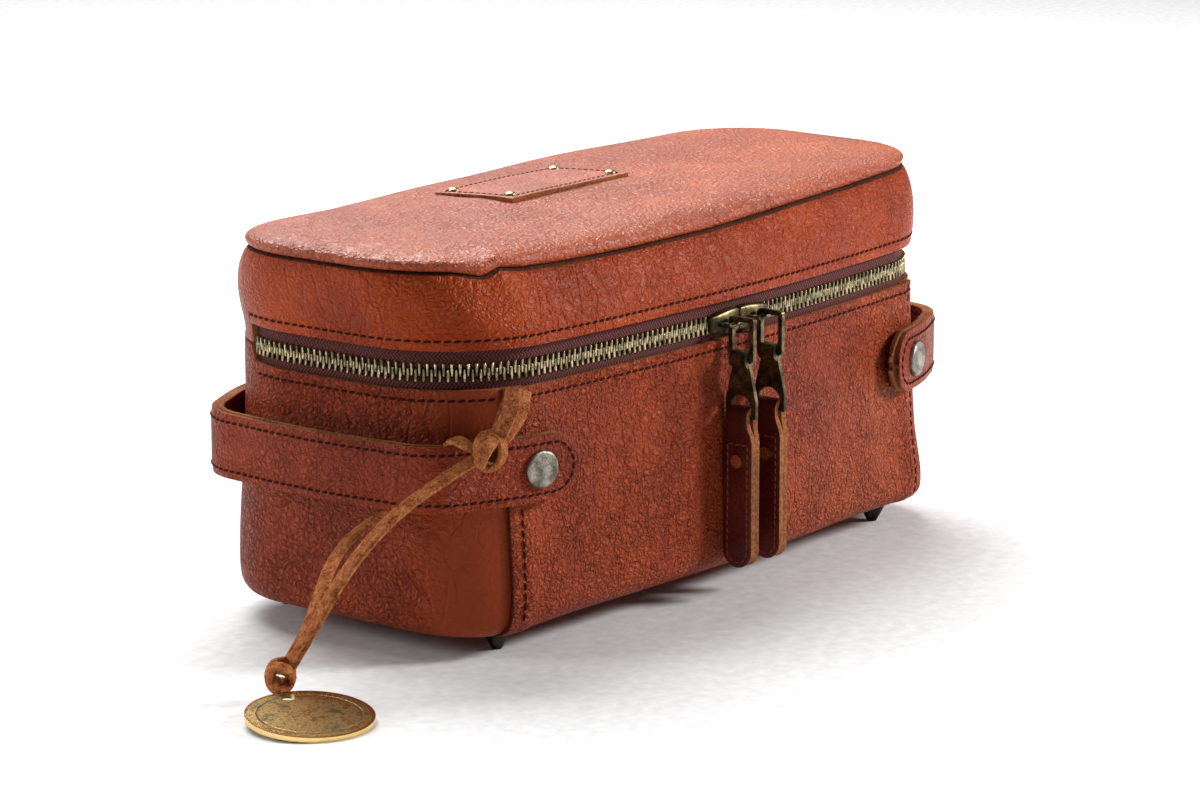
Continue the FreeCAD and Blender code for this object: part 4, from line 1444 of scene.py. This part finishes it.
@dataclass
class Lid:
    """The lid: side band, domed top, lining and label."""

    foot_z: float = 98.5
    back_foot_z: float = 91.9
    seam_z: float = 121.9
    leather: float = 2.0
    foot_stitch: float = 3.2
    crown_z: float = 129.6
    lining_z: float = 117.2
    label_size: tuple[float, float] = (62.0, 33.0)
    rim_shape: tuple[tuple[float, ...], ...] = (
        (120.6, 3.0, -10.0, -7.4), (121.5, 5.3, -7.6, -5.6), (122.4, 6.7, -6.1, -4.5),
        (124.0, 7.2, -5.5, -4.2), (125.7, 6.2, -6.5, -4.7), (127.1, 3.4, -9.4, -6.0), (128.1, -2.0, -14.3, -8.7),
        (128.7, -13.0, -23.0, -12.8), (129.1, -32.0, -34.0, -17.5),
    )
    band: np.ndarray = field(init=False)

    def __post_init__(self) -> None:
        """Work out the band's rows."""
        self.band = through([
            (98.5, 3.2, 2.6, 2.6), (101.5, 4.2, 2.5, 2.0), (105.5, 5.3, 1.9, 0.8), (110.0, 6.3, 0.7, -1.0),
            (114.5, 7.1, -1.0, -1.8), (118.0, 7.4, -3.0, -2.2), (120.2, 7.1, -4.7, -3.0),
            (121.3, 6.2, -6.1, -4.2), (121.7, 4.2, -8.0, -6.0),
        ], 5)

    @staticmethod
    def lift(x: np.ndarray, y: np.ndarray) -> np.ndarray:
        """How the top seam rises towards both ends and kinks at the front left corner.

        Args:
            x: places along the length.
            y: places across, from the middle.

        Returns:
            The rise at each place.
        """
        place = (-140, -128, -110, -80, -50, -5, 43, 97, 128, 140)
        height = (2.1, 1.5, 0.2, -1.0, -1.3, -1.0, 0.7, 1.9, 2.6, 2.8)
        kink = np.interp(x, (-122, -113, -106.5, -98), (0.0, -1.5, 1.0, 0.0))
        return np.interp(x, place, height) + kink * rise(-y, 20.0, 40.0)

    def hang(self, surface: Surface) -> Surface:
        """Lift a band's upper rows to the top seam.

        Args:
            surface: the band.

        Returns:
            The band, lifted.
        """
        rows = surface.rows.copy()
        share = rise(rows[:, :, 2], self.foot_z + 4.0, self.seam_z - 1.5)
        rows[:, :, 2] += self.lift(rows[:, :, 0], rows[:, :, 1] - PLAN.middle_y) * share
        return Surface(rows)

    def band_relief(self, x: np.ndarray, y: np.ndarray, z: np.ndarray) -> np.ndarray:
        """How the band stands out: a stitch channel and a hand-made sway.

        Args:
            x: places along the length.
            y: places across, from the middle.
            z: heights.

        Returns:
            How far each place stands out.
        """
        return sway(x, y, z + 40.0, 0.30) - 0.35 * hump(z, self.foot_z + self.foot_stitch, 0.9)

    def build(self) -> None:
        """Build and dress everything on the lid."""
        front = self.hang(PLAN.along_zip(self.band, 300, self.band_relief))
        end = PLAN.middle_y + PLAN.end_y + 0.4
        rear_rows = [(self.back_foot_z, 2.2, 2.2, 2.2), (95.0, 2.4, 2.3, 2.2), *self.band]
        rear = self.hang(PLAN.wall(rear_rows, ("right", end), ("left", end), 110,
                                   lambda x, y, z: sway(x, y, z, 0.25) - 0.25))
        for name, surface, node in (("front", front, "lid_band"), ("rear", rear, "lid_back_band")):
            piece = surface.sheet(f"lid_{name}_band", self.leather)
            dress(piece, Finish.BAND, Finish.EDGE, Finish.DARK_EDGE)
            # Painted shade in the top seam: the band's rows that tuck into the seam get the near-black finish.
            darken(piece, lambda place, slot: self.unlifted(place) > self.seam_z - 1.1)
            hand_over(piece, "lid", "lid_leather", node)
        sew("lid_foot_stitches", [front.level(self.foot_z + self.foot_stitch)], "lid", "lid_leather")
        self.top()
        self.lining()
        self.label()

    def unlifted(self, place: np.ndarray) -> np.ndarray:
        """The heights of places before the top seam was lifted."""
        return place[:, 2] - self.lift(place[:, 0], place[:, 1] - PLAN.middle_y)

    @staticmethod
    def swell(x: np.ndarray, y: np.ndarray, z: np.ndarray) -> np.ndarray:
        """Soft rises and hollows of the stuffed top.

        Args:
            x: places along the length.
            y: places across, from the middle.
            z: heights.

        Returns:
            How far each place is lifted.
        """
        inner = rise(z, 123.5, 129.0)
        edge = Lid.lift(x, y) * (1.0 - 0.6 * inner)
        puff = 0.9 * hump(x, -113.0, 7.0) * (y < 0) * rise(z, 122.0, 123.5) * (1 - inner)
        waves = 0.35 * np.sin(x / 31.0 + 0.8) + 0.3 * np.sin(y / 17.0) + 0.2 * np.sin(x / 13.0 + y / 11.0)
        return edge + puff + inner * waves

    def top(self) -> None:
        """The domed top panel, rolled into the seam at its edge."""
        rows = PLAN.around(through(self.rim_shape, 4), self.swell)
        middle = PLAN.draw_in(rows[-1], self.crown_z, (0.82, 0.64, 0.46, 0.30, 0.15, 0.0))
        dome = Surface(np.array([*rows, *middle])).sheet("lid_top_leather", weld=True)
        mend(dome, 3e-5)
        apply_modifier(dome, "SOLIDIFY", thickness=1.8 * MM, offset=-1.0)
        smooth(dome, 50.0)
        dress(dome, Finish.TOP, Finish.EDGE, Finish.DARK_EDGE)
        # Painted shade in the top seam: the dome's edge rolled under into the seam gets the near-black finish.
        darken(dome, lambda place, slot: self.unlifted(place) <= self.seam_z)
        hand_over(dome, "lid", "lid_leather", "lid_top_panel")

    def lining(self) -> None:
        """The cloth inside the lid."""
        low, high = self.foot_z + 2.0, self.lining_z - 1.2
        wall = [(z, *(np.array(out) - 3.4)) for z, *out in self.band if low < z < high]
        rows = PLAN.around([(low - 0.1, -0.8, -0.8, -0.8), *wall, (self.lining_z, -1.0, -12.5, -10.0)])
        ceiling = PLAN.draw_in(rows[-1], self.lining_z, (0.9, 0.6, 0.3, 0.0))
        PLAN.line("lid_cloth", [*rows, *ceiling], "lid", "lid_lining")

    def label(self, stitch_in: float = 2.4, rivet_in: float = 4.5) -> None:
        """The leather patch, sewn and riveted near its edge.

        Args:
            stitch_in: how far inside the edge the stitches run.
            rivet_in: how far inside the edges the rivets stand.
        """
        x0, y0 = (place / MM for place in middle_of("label_patch")[:2])
        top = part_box("label_patch")[1].z / MM
        half_x, half_y = (size / 2 for size in self.label_size)
        across, up = np.linspace(-1, 1, 40), np.linspace(-1, 1, 24)

        def height(a: float, b: float) -> float:
            """The patch's top, sinking to the back and at its corners."""
            return top - 0.9 - 0.7 * b - 0.35 * a * a * b * b + 0.12 * math.sin(3 * a + 2 * b)

        rows = [[(x0 + a * half_x, y0 + b * half_y, height(a, b)) for a in across] for b in up]
        surface = Surface(np.array(rows))
        patch = dress(surface.sheet("label_leather", 1.9, 0.3), Finish.LABEL, Finish.EDGE)
        hand_over(patch, "lid", "label_leather", "label_patch")
        corners = np.array([(-1, -1), (1, -1), (1, 1), (-1, 1), (-1, -1)])
        corners = corners * (1 - stitch_in / half_x, 1 - stitch_in / half_y)
        lines = []
        for near, far in zip(corners, corners[1:]):
            a, b = (near + (far - near) * np.linspace(0, 1, 30)[:, None]).T
            lines.append(surface.sample((b + 1) / 2 * (len(up) - 1), (a + 1) / 2 * (len(across) - 1)))
        sew("label_stitches", lines, "lid", "label_leather", 2.4, wide=0.6)
        heads = []
        for a, b in ((-1, -1), (-1, 1), (1, -1), (1, 1)):
            deselect()
            bpy.ops.mesh.primitive_uv_sphere_add(segments=20, ring_count=12, radius=2.0 * MM)
            head = named(f"label_rivet_{len(heads)}")
            head.data.transform(Matrix.Diagonal((1.0, 1.0, 0.5, 1.0)))
            x, y = a * (half_x - rivet_in), b * (half_y - rivet_in)
            z = height(x / half_x, y / half_y) + 0.2
            head.data.transform(Matrix.Translation(Vector((x0 + x, y0 + y, z)) * MM))
            heads.append(head)
        studs = join("label_studs", heads)
        smooth(studs)
        hand_over(dress(studs, Finish.STUD), "lid", "antique_brass", "label_rivets")


# ------------------------------------------------------------------------ zip


@dataclass
class Zip:
    """Tapes and teeth of the zip."""

    pitch: float = 2.45
    tooth: tuple[float, float, float] = (1.0, 2.9, 4.2)
    tape: float = 0.5
    hinge_half: float = 87.0

    @staticmethod
    def ledge(low: float, high: float, out: float, count: int) -> list[tuple[float, ...]]:
        """Rows of an upright strip that stands a little outside the plan.

        Args:
            low: its lowest height.
            high: its highest height.
            out: how far it stands out.
            count: the number of rows.

        Returns:
            The rows.
        """
        return [(z, out, out, out) for z in np.linspace(low, high, count)]

    def one_tooth(self) -> bpy.types.Object:
        """One tooth: a bar with a rounded nose, its foot at the tape and its nose up."""
        deselect()
        bpy.ops.mesh.primitive_cube_add(size=1.0)
        tooth = named("tooth")
        wide, deep, tall = self.tooth
        with editing(tooth):
            bpy.ops.transform.resize(value=(wide, tall, deep))
            bpy.ops.mesh.bevel(offset=0.26, segments=1, affect="EDGES")
        for vertex in tooth.data.vertices:
            share = vertex.co.y / tall + 0.5
            vertex.co.x *= 1.0 - 0.22 * share
            vertex.co.z *= 1.0 - 0.10 * share
        return tooth

    def teeth(self, name: str, low: float, shift: float, flip: bool, body: str, node: str) -> None:
        """One row of teeth.

        Args:
            name: the piece's name.
            low: the height of the row's middle.
            shift: the first tooth's place, in pitches.
            flip: the noses point down.
            body: the body it rides on.
            node: the node it stands for.
        """
        path = PLAN.along_zip(self.ledge(low, low + 2.0, 0.0, 2), 500)
        frames = frames_along(path.rows[0], path.normals[0], self.pitch)
        frames[:, :3, 3] += frames[:, :3, 0] * (shift * self.pitch)
        if flip:
            frames[:, :3, :2] *= -1
        row = dress(spread(name, self.one_tooth(), frames), Finish.TEETH)
        hand_over(row, body, "zip_teeth", node)

    def build(self) -> None:
        """Build the tapes, the teeth and the hinge strip."""
        for name, low, high, body in (("lower", 79.9, 90.2, "bag_body"), ("upper", 92.6, 99.6, "lid")):
            tape = PLAN.along_zip(self.ledge(low, high, 0.25, 5), 300).sheet(f"{name}_tape")
            apply_modifier(tape, "SOLIDIFY", thickness=self.tape * MM, offset=-1.0)
            hand_over(dress(tape, Finish.TAPE), body, "zip_tape", f"{name}_zip_tape")
        self.teeth("lower_teeth", 90.5, 0.0, False, "bag_body", "lower_zip_teeth")
        self.teeth("upper_teeth", 92.3, 0.5, True, "lid", "upper_zip_teeth")
        self.hinge()

    def hinge(self) -> None:
        """The leather strip along the back, where the lid turns."""
        levels, half = self.ledge(84.5, 98.3, -0.1, 25), self.hinge_half
        strip = PLAN.wall(levels, ("back", half), ("back", -half), 40).sheet("hinge_leather")
        apply_modifier(strip, "SOLIDIFY", thickness=0.8 * MM, offset=-1.0)
        smooth(strip, 60.0)
        dress(strip, Finish.STRAP)
        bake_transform(strip)
        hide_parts("lower_hinge_strip", "upper_hinge_strip")


# --------------------------------------------------------------------- straps


@dataclass
class Strap:
    """A two-ply carrying strap at one end."""

    side: int
    width: float = 21.0
    ply: float = 2.0
    clear: float = 0.8
    rise_z: float = 60.5
    rivet_x: float = 103.0
    tab: float = 15.5
    corner: tuple[float, float] = (138.0, 45.5)
    end_x: float = 142.5
    radii: tuple[float, ...] = (90.0, 20.0, 180.0, 20.0, 90.0)
    inset: float = 2.6
    at: np.ndarray = field(init=False)
    half: np.ndarray = field(init=False)

    @property
    def name(self) -> str:
        """Which strap this is."""
        return "left" if self.side < 0 else "right"

    def middle_line(self) -> np.ndarray:
        """The strap's middle line in plan, from the front tab to the back one, for the right strap."""
        centre, radius, *_ = PLAN.corner_arc((1.84, 2.78, 0.04))
        reach = radius + self.clear + self.ply
        lean = (self.rivet_x - centre[0]) / reach
        out = np.array([lean, -math.sqrt(1 - lean**2)])
        rivet = np.array([centre[0], -centre[1]]) + out * reach
        run = np.array([-out[1], out[0]])
        start, leave = rivet - run * self.tab, rivet + run * 8.1
        half = [start, leave, np.array([self.corner[0], -self.corner[1]]), np.array([self.end_x, 0.0])]
        points = half + [p * (1, -1) for p in half[-2::-1]]
        line = [start]
        for before, bend, after, radius in zip(points, points[1:], points[2:], self.radii):
            into, away = unit(bend - before), unit(after - bend)
            reach = radius * math.tan(math.acos(float(np.clip(into @ away, -1, 1))) / 2)
            enter, leave = bend - into * reach, bend + away * reach
            line += [(1 - t) ** 2 * enter + 2 * t * (1 - t) * bend + t**2 * leave
                     for t in np.linspace(0, 1, 14)]
        return np.array([*line, points[-1]])

    def ply_surface(self, offset: float) -> Surface:
        """One face of the strap, from its lower edge up.

        Args:
            offset: how far it stands outside the middle line.

        Returns:
            The face, its columns running from the front tab to the back one.
        """
        line = self.middle_line()
        run = run_along(line)
        total, r = run[-1], self.width / 2
        cap = r * (1 - np.cos(np.linspace(0.12, math.pi / 2, 12)))
        at = np.concatenate([cap, np.linspace(r, total - r, 150)[1:-1], total - cap[::-1]])
        x, y = np.interp(at, run, line[:, 0]), np.interp(at, run, line[:, 1])
        dx, dy = np.gradient(x, at), np.gradient(y, at)
        for _ in range(3):
            dx[1:-1] = (dx[:-2] + dx[1:-1] + dx[2:]) / 3
            dy[1:-1] = (dy[:-2] + dy[1:-1] + dy[2:]) / 3
        size = np.hypot(dx, dy)
        nx, ny = dy / size, -dx / size
        end = np.minimum(at, total - at)
        half = np.where(end < r, np.sqrt(np.maximum(r**2 - (r - end) ** 2, 0.01)), r)
        rows = []
        for w in np.linspace(-1, 1, 13):
            z = self.rise_z + half * w
            bow = offset + 0.25 * np.sin(at / 23.0) - 0.35 * abs(w) ** 6
            rows.append(np.stack([(x + nx * bow) * self.side, y + ny * bow + PLAN.middle_y, z], axis=1))
        self.at, self.half = at, half
        grid = np.array(rows)
        return Surface(grid if self.side > 0 else grid[:, ::-1])

    def edge_line(self, surface: Surface) -> Line:
        """The stitch line round the strap's whole edge.

        Args:
            surface: the face that it is sewn on.

        Returns:
            Its points and normals.
        """
        at, half, r = self.at, self.half, self.width / 2
        total, reach = at[-1] + at[0], r - self.inset
        along = np.linspace(r, total - r, 160)
        cap = np.linspace(math.pi / 2, -math.pi / 2, 30)
        path = [(s, reach) for s in along[::-1]]
        path += [(r - reach * math.cos(a), reach * math.sin(a)) for a in cap]
        path += [(s, -reach) for s in along]
        path += [(total - r + reach * math.cos(a), -reach * math.sin(a)) for a in cap]
        path.append(path[0])
        s, w = np.array(path).T
        u = np.interp(s, at, np.arange(len(at), dtype=float))
        if self.side < 0:
            u = len(at) - 1 - u
        v = (w / np.interp(s, at, half) + 1) / 2 * (surface.rows.shape[0] - 1)
        return surface.sample(v, u)

    def build(self) -> None:
        """Build and dress the strap."""
        body, slot = f"{self.name}_handle", "strap_leather"
        outer = self.ply_surface(self.ply)
        inner_face = self.ply_surface(-self.ply)
        inner = Surface(inner_face.rows[:, ::-1])
        for name, surface in (("outer_ply", outer), ("inner_ply", inner)):
            ply = surface.sheet(f"{self.name}_strap_{name}", self.ply - 0.06, 0.25)
            hand_over(dress(ply, Finish.STRAP, Finish.EDGE), body, slot, f"{self.name}_handle_{name}")
        points, normals = self.edge_line(inner_face)
        sew(f"{self.name}_strap_stitches", [self.edge_line(outer), (points, -normals)], body, slot, 2.9)


# ----------------------------------------------------------------------- pulls


@dataclass
class Slider:
    """One zip slider: a tapered, crowned plate with a rounded nose."""

    side: str
    taper: float = 0.62
    crown: float = 0.9

    def build(self) -> None:
        """Build and dress the slider's body."""
        low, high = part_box(f"{self.side}_slider_body")
        size = (high - low) / MM
        middle = (high + low) / 2
        deselect()
        bpy.ops.mesh.primitive_cube_add(size=1.0)
        body = named(f"{self.side}_slider_shell")
        body.data.transform(Matrix.Diagonal((size.x * MM, (size.y - self.crown) * MM, size.z * MM, 1.0)))
        with editing(body):
            bpy.ops.mesh.subdivide(number_cuts=5)
        tail = -1.0 if self.side == "left" else 1.0
        half = size * 0.5 * MM
        for vertex in body.data.vertices:
            along = (vertex.co.x * tail / half.x + 1) / 2
            vertex.co.z *= 1.0 - (1.0 - self.taper) * along**1.6 - 0.16 * (1 - along) ** 6
            if vertex.co.y < 0:
                middle_share = (1 - (vertex.co.x / half.x) ** 2) * (1 - (vertex.co.z / half.z) ** 2)
                vertex.co.y -= self.crown * MM * max(0.0, middle_share)
        mend(body)
        apply_modifier(body, "BEVEL", width=0.7 * MM, segments=3, limit_method="ANGLE",
                       angle_limit=math.radians(40))
        body.data.transform(Matrix.Translation(middle + Vector((0.0, 0.4 * MM, 0.0))))
        smooth(body, 50.0)
        dress(body, Finish.BRASS)
        hand_over(body, f"{self.side}_slider", "antique_brass", f"{self.side}_slider_body")


@dataclass
class Pull:
    """A folded leather pull on its clip."""

    side: str
    ply: float = 2.3
    width: float = 11.2
    neck: float = 8.4
    pin_z: float = 61.45
    fold_r: float = 3.3
    blade_top: float = 52.0
    low_z: float = 10.75
    stitch_in: float = 1.7

    def build(self) -> None:
        """Build and dress the pull's leather."""
        x0, y0 = (place / MM for place in middle_of(f"{self.side}_pull_leather")[:2])
        half, tip_z = self.width / 2, self.low_z + self.width / 2
        tip = tip_z - half * np.cos(np.linspace(0.16, math.pi / 2, 9))
        down = np.concatenate([tip, np.linspace(tip_z, self.blade_top, 22)[1:]])
        fold = np.linspace(0, math.pi, 15)[1:-1]
        neck = through([(-self.ply, self.blade_top), (-self.ply - 0.25, 55.5), (-self.fold_r + 0.1, 59.0),
                        (-self.fold_r, self.pin_z)], 4)
        arc = [(-self.fold_r * math.cos(a), self.pin_z + self.fold_r * math.sin(a)) for a in fold]
        left = [(-self.ply, z) for z in down] + [tuple(p) for p in neck[1:]]
        path = np.array(left + arc + [(-x, z) for x, z in left[::-1]])
        x, z = path.T
        reach = np.full(len(path), half)
        tipped = z < tip_z
        reach[tipped] = np.sqrt(np.maximum(half**2 - (tip_z - z[tipped]) ** 2, 0.02))
        reach = reach - (half - self.neck / 2) * rise(z, 52.5, 59.0)
        rows = []
        for w in np.linspace(-1, 1, 11):
            crown = 1.0 - 0.06 * abs(w) ** 4
            rows.append(np.stack([x0 + x * crown, y0 + reach * w, z], axis=1))
        surface = Surface(np.array(rows))
        leather = surface.sheet(f"{self.side}_pull_strip", self.ply - 0.12, 0.22)
        dress(leather, Finish.PULL, Finish.EDGE)
        hand_over(leather, f"{self.side}_pull", "pull_leather", f"{self.side}_pull_leather")
        self.stitches(surface, path, reach)

    def stitches(self, surface: Surface, path: np.ndarray, reach: np.ndarray) -> None:
        """Sew round both faces.

        Args:
            surface: the leather's outside.
            path: the fold's line across the pull and up.
            reach: the half width at each point of it.
        """
        run, half = run_along(path), self.width / 2
        straight, r = self.blade_top - self.low_z - half, half - self.stitch_in
        cap = np.linspace(math.pi / 2, -math.pi / 2, 16)
        course = [(half + straight - t, r) for t in np.linspace(0, straight, 40)]
        course += [(half - r * math.cos(a), r * math.sin(a)) for a in cap]
        course += [(half + t, -r) for t in np.linspace(0, straight, 40)]
        course += [(half + straight, -r + 2 * r * t) for t in np.linspace(0, 1, 12)[1:]]
        near, w = np.array(course).T
        lines = []
        for s in (near, run[-1] - near):
            u = np.interp(s, run, np.arange(len(run), dtype=float))
            v = (w / np.maximum(np.interp(s, run, reach), 0.5) + 1) / 2 * (surface.rows.shape[0] - 1)
            lines.append(surface.sample(v, u))
        body = f"{self.side}_pull"
        sew(f"{body}_stitches", lines, body, "pull_leather", 2.5, Finish.PULL_THREAD, 0.5)


# ------------------------------------------------------------------------ lace


@dataclass
class Lace:
    """The tag's lace: two strands, two knots, a turn round the strap and two tails."""

    width: float = 4.6
    thick: float = 1.9
    front_route: tuple = (
        (-0.1310, -0.0546, 0.0690), (-0.1450, -0.0496, 0.0630), (-0.1605, -0.0426, 0.0530),
        (-0.1735, -0.0366, 0.0385), (-0.1820, -0.0316, 0.0225), (-0.1880, -0.0266, 0.0100),
    )
    back_route: tuple = (
        (-0.1285, -0.0426, 0.0645), (-0.1355, -0.0346, 0.0595), (-0.1378, -0.0236, 0.0488),
        (-0.1475, -0.0171, 0.0420), (-0.1615, -0.0211, 0.0370), (-0.1735, -0.0266, 0.0300),
        (-0.1825, -0.0281, 0.0180), (-0.1885, -0.0246, 0.0090),
    )
    tails: tuple = (
        ((-127.0, -62.0, 72.0), (-122.0, -64.0, 77.0), (-117.0, -64.0, 81.5), (-112.5, -62.0, 87.0)),
        ((-127.6, -62.5, 73.0), (-126.0, -65.0, 78.5), (-123.0, -65.5, 83.5), (-119.0, -63.5, 89.0)),
    )
    turn: tuple = ((-128.3, -46.5, 65.0), (-130.8, -47.8, 71.0), (-132.6, -51.5, 73.6), (-133.0, -56.0, 72.8),
                   (-130.0, -59.5, 70.5))
    knot_turns: tuple = ((0.35, 0.55, 1.0), (1.5, -0.45, 0.92), (2.5, 0.25, 0.84))

    @staticmethod
    def shifted(points: Sequence[Sequence[float]]) -> list[tuple[float, ...]]:
        """Points given from the plan's middle, in the part's own frame."""
        return [(x, y + PLAN.middle_y, z) for x, y, z in points]

    def strand(self, name: str, route: Sequence[Sequence[float]], node: str) -> None:
        """One hanging strand, a curve of one spline.

        Args:
            name: the piece's name.
            route: its control points in metres.
            node: the node it stands for.
        """
        curve = bpy.data.curves.new(name, "CURVE")
        curve.dimensions = "3D"
        spline = curve.splines.new("NURBS")
        spline.points.add(len(route) - 1)
        for point, place in zip(spline.points, route):
            point.co = (*place, 1.0)
            point.tilt = math.radians(70.0)
        spline.order_u = 3
        spline.use_endpoint_u = True
        curve.resolution_u = 12
        curve.bevel_depth = self.thick / 2 * MM
        curve.bevel_resolution = 3
        curve.extrude = (self.width - self.thick) / 2 * MM
        curve.use_fill_caps = True
        obj = dress(put(name, curve), Finish.SUEDE)
        hand_over(obj, "left_handle", "lace_suede", node)

    def knot(self, name: str, middle: Sequence[float], size: float, spin: float) -> None:
        """A tight knot of lace turns.

        Args:
            name: the piece's name, and with lace_ before it the node it stands for.
            middle: its middle, from the plan's middle.
            size: the radius of its turns.
            spin: turns the whole knot.
        """
        centre = self.shifted([middle])[0]
        turns = []
        for n, (tilt, lean, reach) in enumerate(self.knot_turns):
            tilt += spin
            first = unit(np.array([math.cos(tilt), 0.35 * math.sin(lean), math.sin(tilt)]))
            second = unit(np.cross((0.77, 0.6, 0.5 * lean), first))
            second = second * math.cos(lean) + np.cross(first, second) * math.sin(lean)
            loop = [np.array(centre) + size * reach * (first * math.cos(a) + second * math.sin(a) * 0.80)
                    for a in np.linspace(0, TAU, 9)[:-1]]
            turns.append(ribbon(f"{name}_{n}", loop, self.width * 0.9, self.thick * 1.1, (0, 0, 1),
                                True, 5, heart=centre))
        self.tie(join(name, turns), f"lace_{name}")

    @staticmethod
    def tie(piece: bpy.types.Object, node: str) -> None:
        """Dress a piece of the lace and put it on the strap, in place of its node."""
        hand_over(dress(piece, Finish.SUEDE), "left_handle", "lace_suede", node)

    def build(self) -> None:
        """Build and dress the lace."""
        self.strand("front_lace", self.front_route, "lace_front_strand")
        self.strand("back_lace", self.back_route, "lace_back_strand")
        self.knot("top_knot", (-128.0, -61.2, 70.8), 6.3, 0.0)
        self.knot("lower_knot", (-190.2, -30.2, 8.2), 4.9, 0.8)
        tails = [
            ribbon("tail_0", self.shifted(self.tails[0]), self.width * 1.2, self.thick,
                   (-0.72, -0.6, 0.35), twist=0.05),
            ribbon("tail_1", self.shifted(self.tails[1]), self.width * 1.1, self.thick,
                   (-0.5, -0.6, 0.4), twist=-0.06),
        ]
        self.tie(join("lace_ends", tails), "lace_tails")
        wrap = ribbon("lace_turn", self.shifted(self.turn), self.width, self.thick, (-0.3, -0.3, 1.0))
        self.tie(wrap, "lace_wrap")


# ---------------------------------------------------------------------- studio


@dataclass
class Studio:
    """Camera, floor and light."""

    eye: tuple[float, float, float] = (-1.1613, -0.9020, 0.3865)
    ahead: tuple[float, float, float] = (0.7704, 0.5988, -0.2192)
    lens: float = 135.0
    aim: Out = (0.0, 0.0, 0.06)
    lamps: tuple = (
        ("overhead", (0.35, 0.75, 1.25), 1.2, 40.0),
        ("right", (1.15, -1.20, 0.85), 0.42, 34.0),
        ("left", (-1.10, 1.05, 0.60), 0.5, 9.0),
    )
    glow: float = 0.14

    @staticmethod
    def stand(name: str, data: bpy.types.ID, place: Out, ahead: Vector) -> bpy.types.Object:
        """Set up a camera or a lamp.

        Args:
            name: its name.
            data: its camera or light.
            place: where it stands.
            ahead: where it looks.

        Returns:
            The object.
        """
        obj = put(name, data)
        obj.location = place
        obj.rotation_mode = "QUATERNION"
        obj.rotation_quaternion = ahead.to_track_quat("-Z", "Y")
        return obj

    def camera(self) -> None:
        """The camera."""
        data = bpy.data.cameras.new("camera")
        data.lens, data.sensor_width = self.lens, 36.0
        data.clip_start, data.clip_end = 0.05, 50.0
        bpy.context.scene.camera = self.stand("camera", data, self.eye, Vector(self.ahead))

    def lamp(self, name: str, place: Sequence[float], size: float, power: float) -> None:
        """One soft square light aimed at the bag.

        Args:
            name: the light's name.
            place: where it hangs.
            size: its side in metres.
            power: its power in watts.
        """
        data = bpy.data.lights.new(name, "AREA")
        data.size, data.energy = size, power
        self.stand(name, data, place, Vector(self.aim) - Vector(place))

    def build(self) -> None:
        """Set up the studio."""
        self.camera()
        deselect()
        bpy.ops.mesh.primitive_grid_add(x_subdivisions=8, y_subdivisions=8, size=14.0)
        floor = dress(named("studio_floor"), Finish.FLOOR)
        for lamp in self.lamps:
            self.lamp(*lamp)
        world = bpy.data.worlds.new("studio")
        bpy.context.scene.world = world
        world.use_nodes = True
        background = world.node_tree.nodes["Background"]
        background.inputs[0].default_value = (1.0, 1.0, 1.0, 1.0)
        background.inputs[1].default_value = self.glow
        bpy.context.scene.view_settings.view_transform = "Standard"


CARRIED = {
    Finish.BRASS: ("left_slider_bail", "left_pull_link", "left_pull_clip",
                   "right_slider_bail", "right_pull_link", "right_pull_clip",
                   "zip_end_stops"),
    Finish.STUD: ("left_pull_rivet", "right_pull_rivet"),
    Finish.NICKEL: ("left_handle_rivets", "right_handle_rivets"),
    Finish.STEEL: ("left_handle_rivet_washers", "right_handle_rivet_washers", "foot_washers"),
    Finish.DISC: ("tag_disc",),
    Finish.FOOT: ("feet",),
    Finish.BOARD: ("base_board",),
}


def dress_carried() -> None:
    """Give the nodes that keep their own shape their finishes."""
    for finish, nodes in CARRIED.items():
        for node in nodes:
            dress(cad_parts[node], finish)


def main() -> None:
    """Build the bag."""
    Studio().build()
    Lace().build()
    Body().build()
    Lid().build()
    Zip().build()
    for side in (-1, 1):
        Strap(side).build()
    for side in ("left", "right"):
        Slider(side).build()
        Pull(side).build()
    dress_carried()


if __name__ == "__main__":
    main()
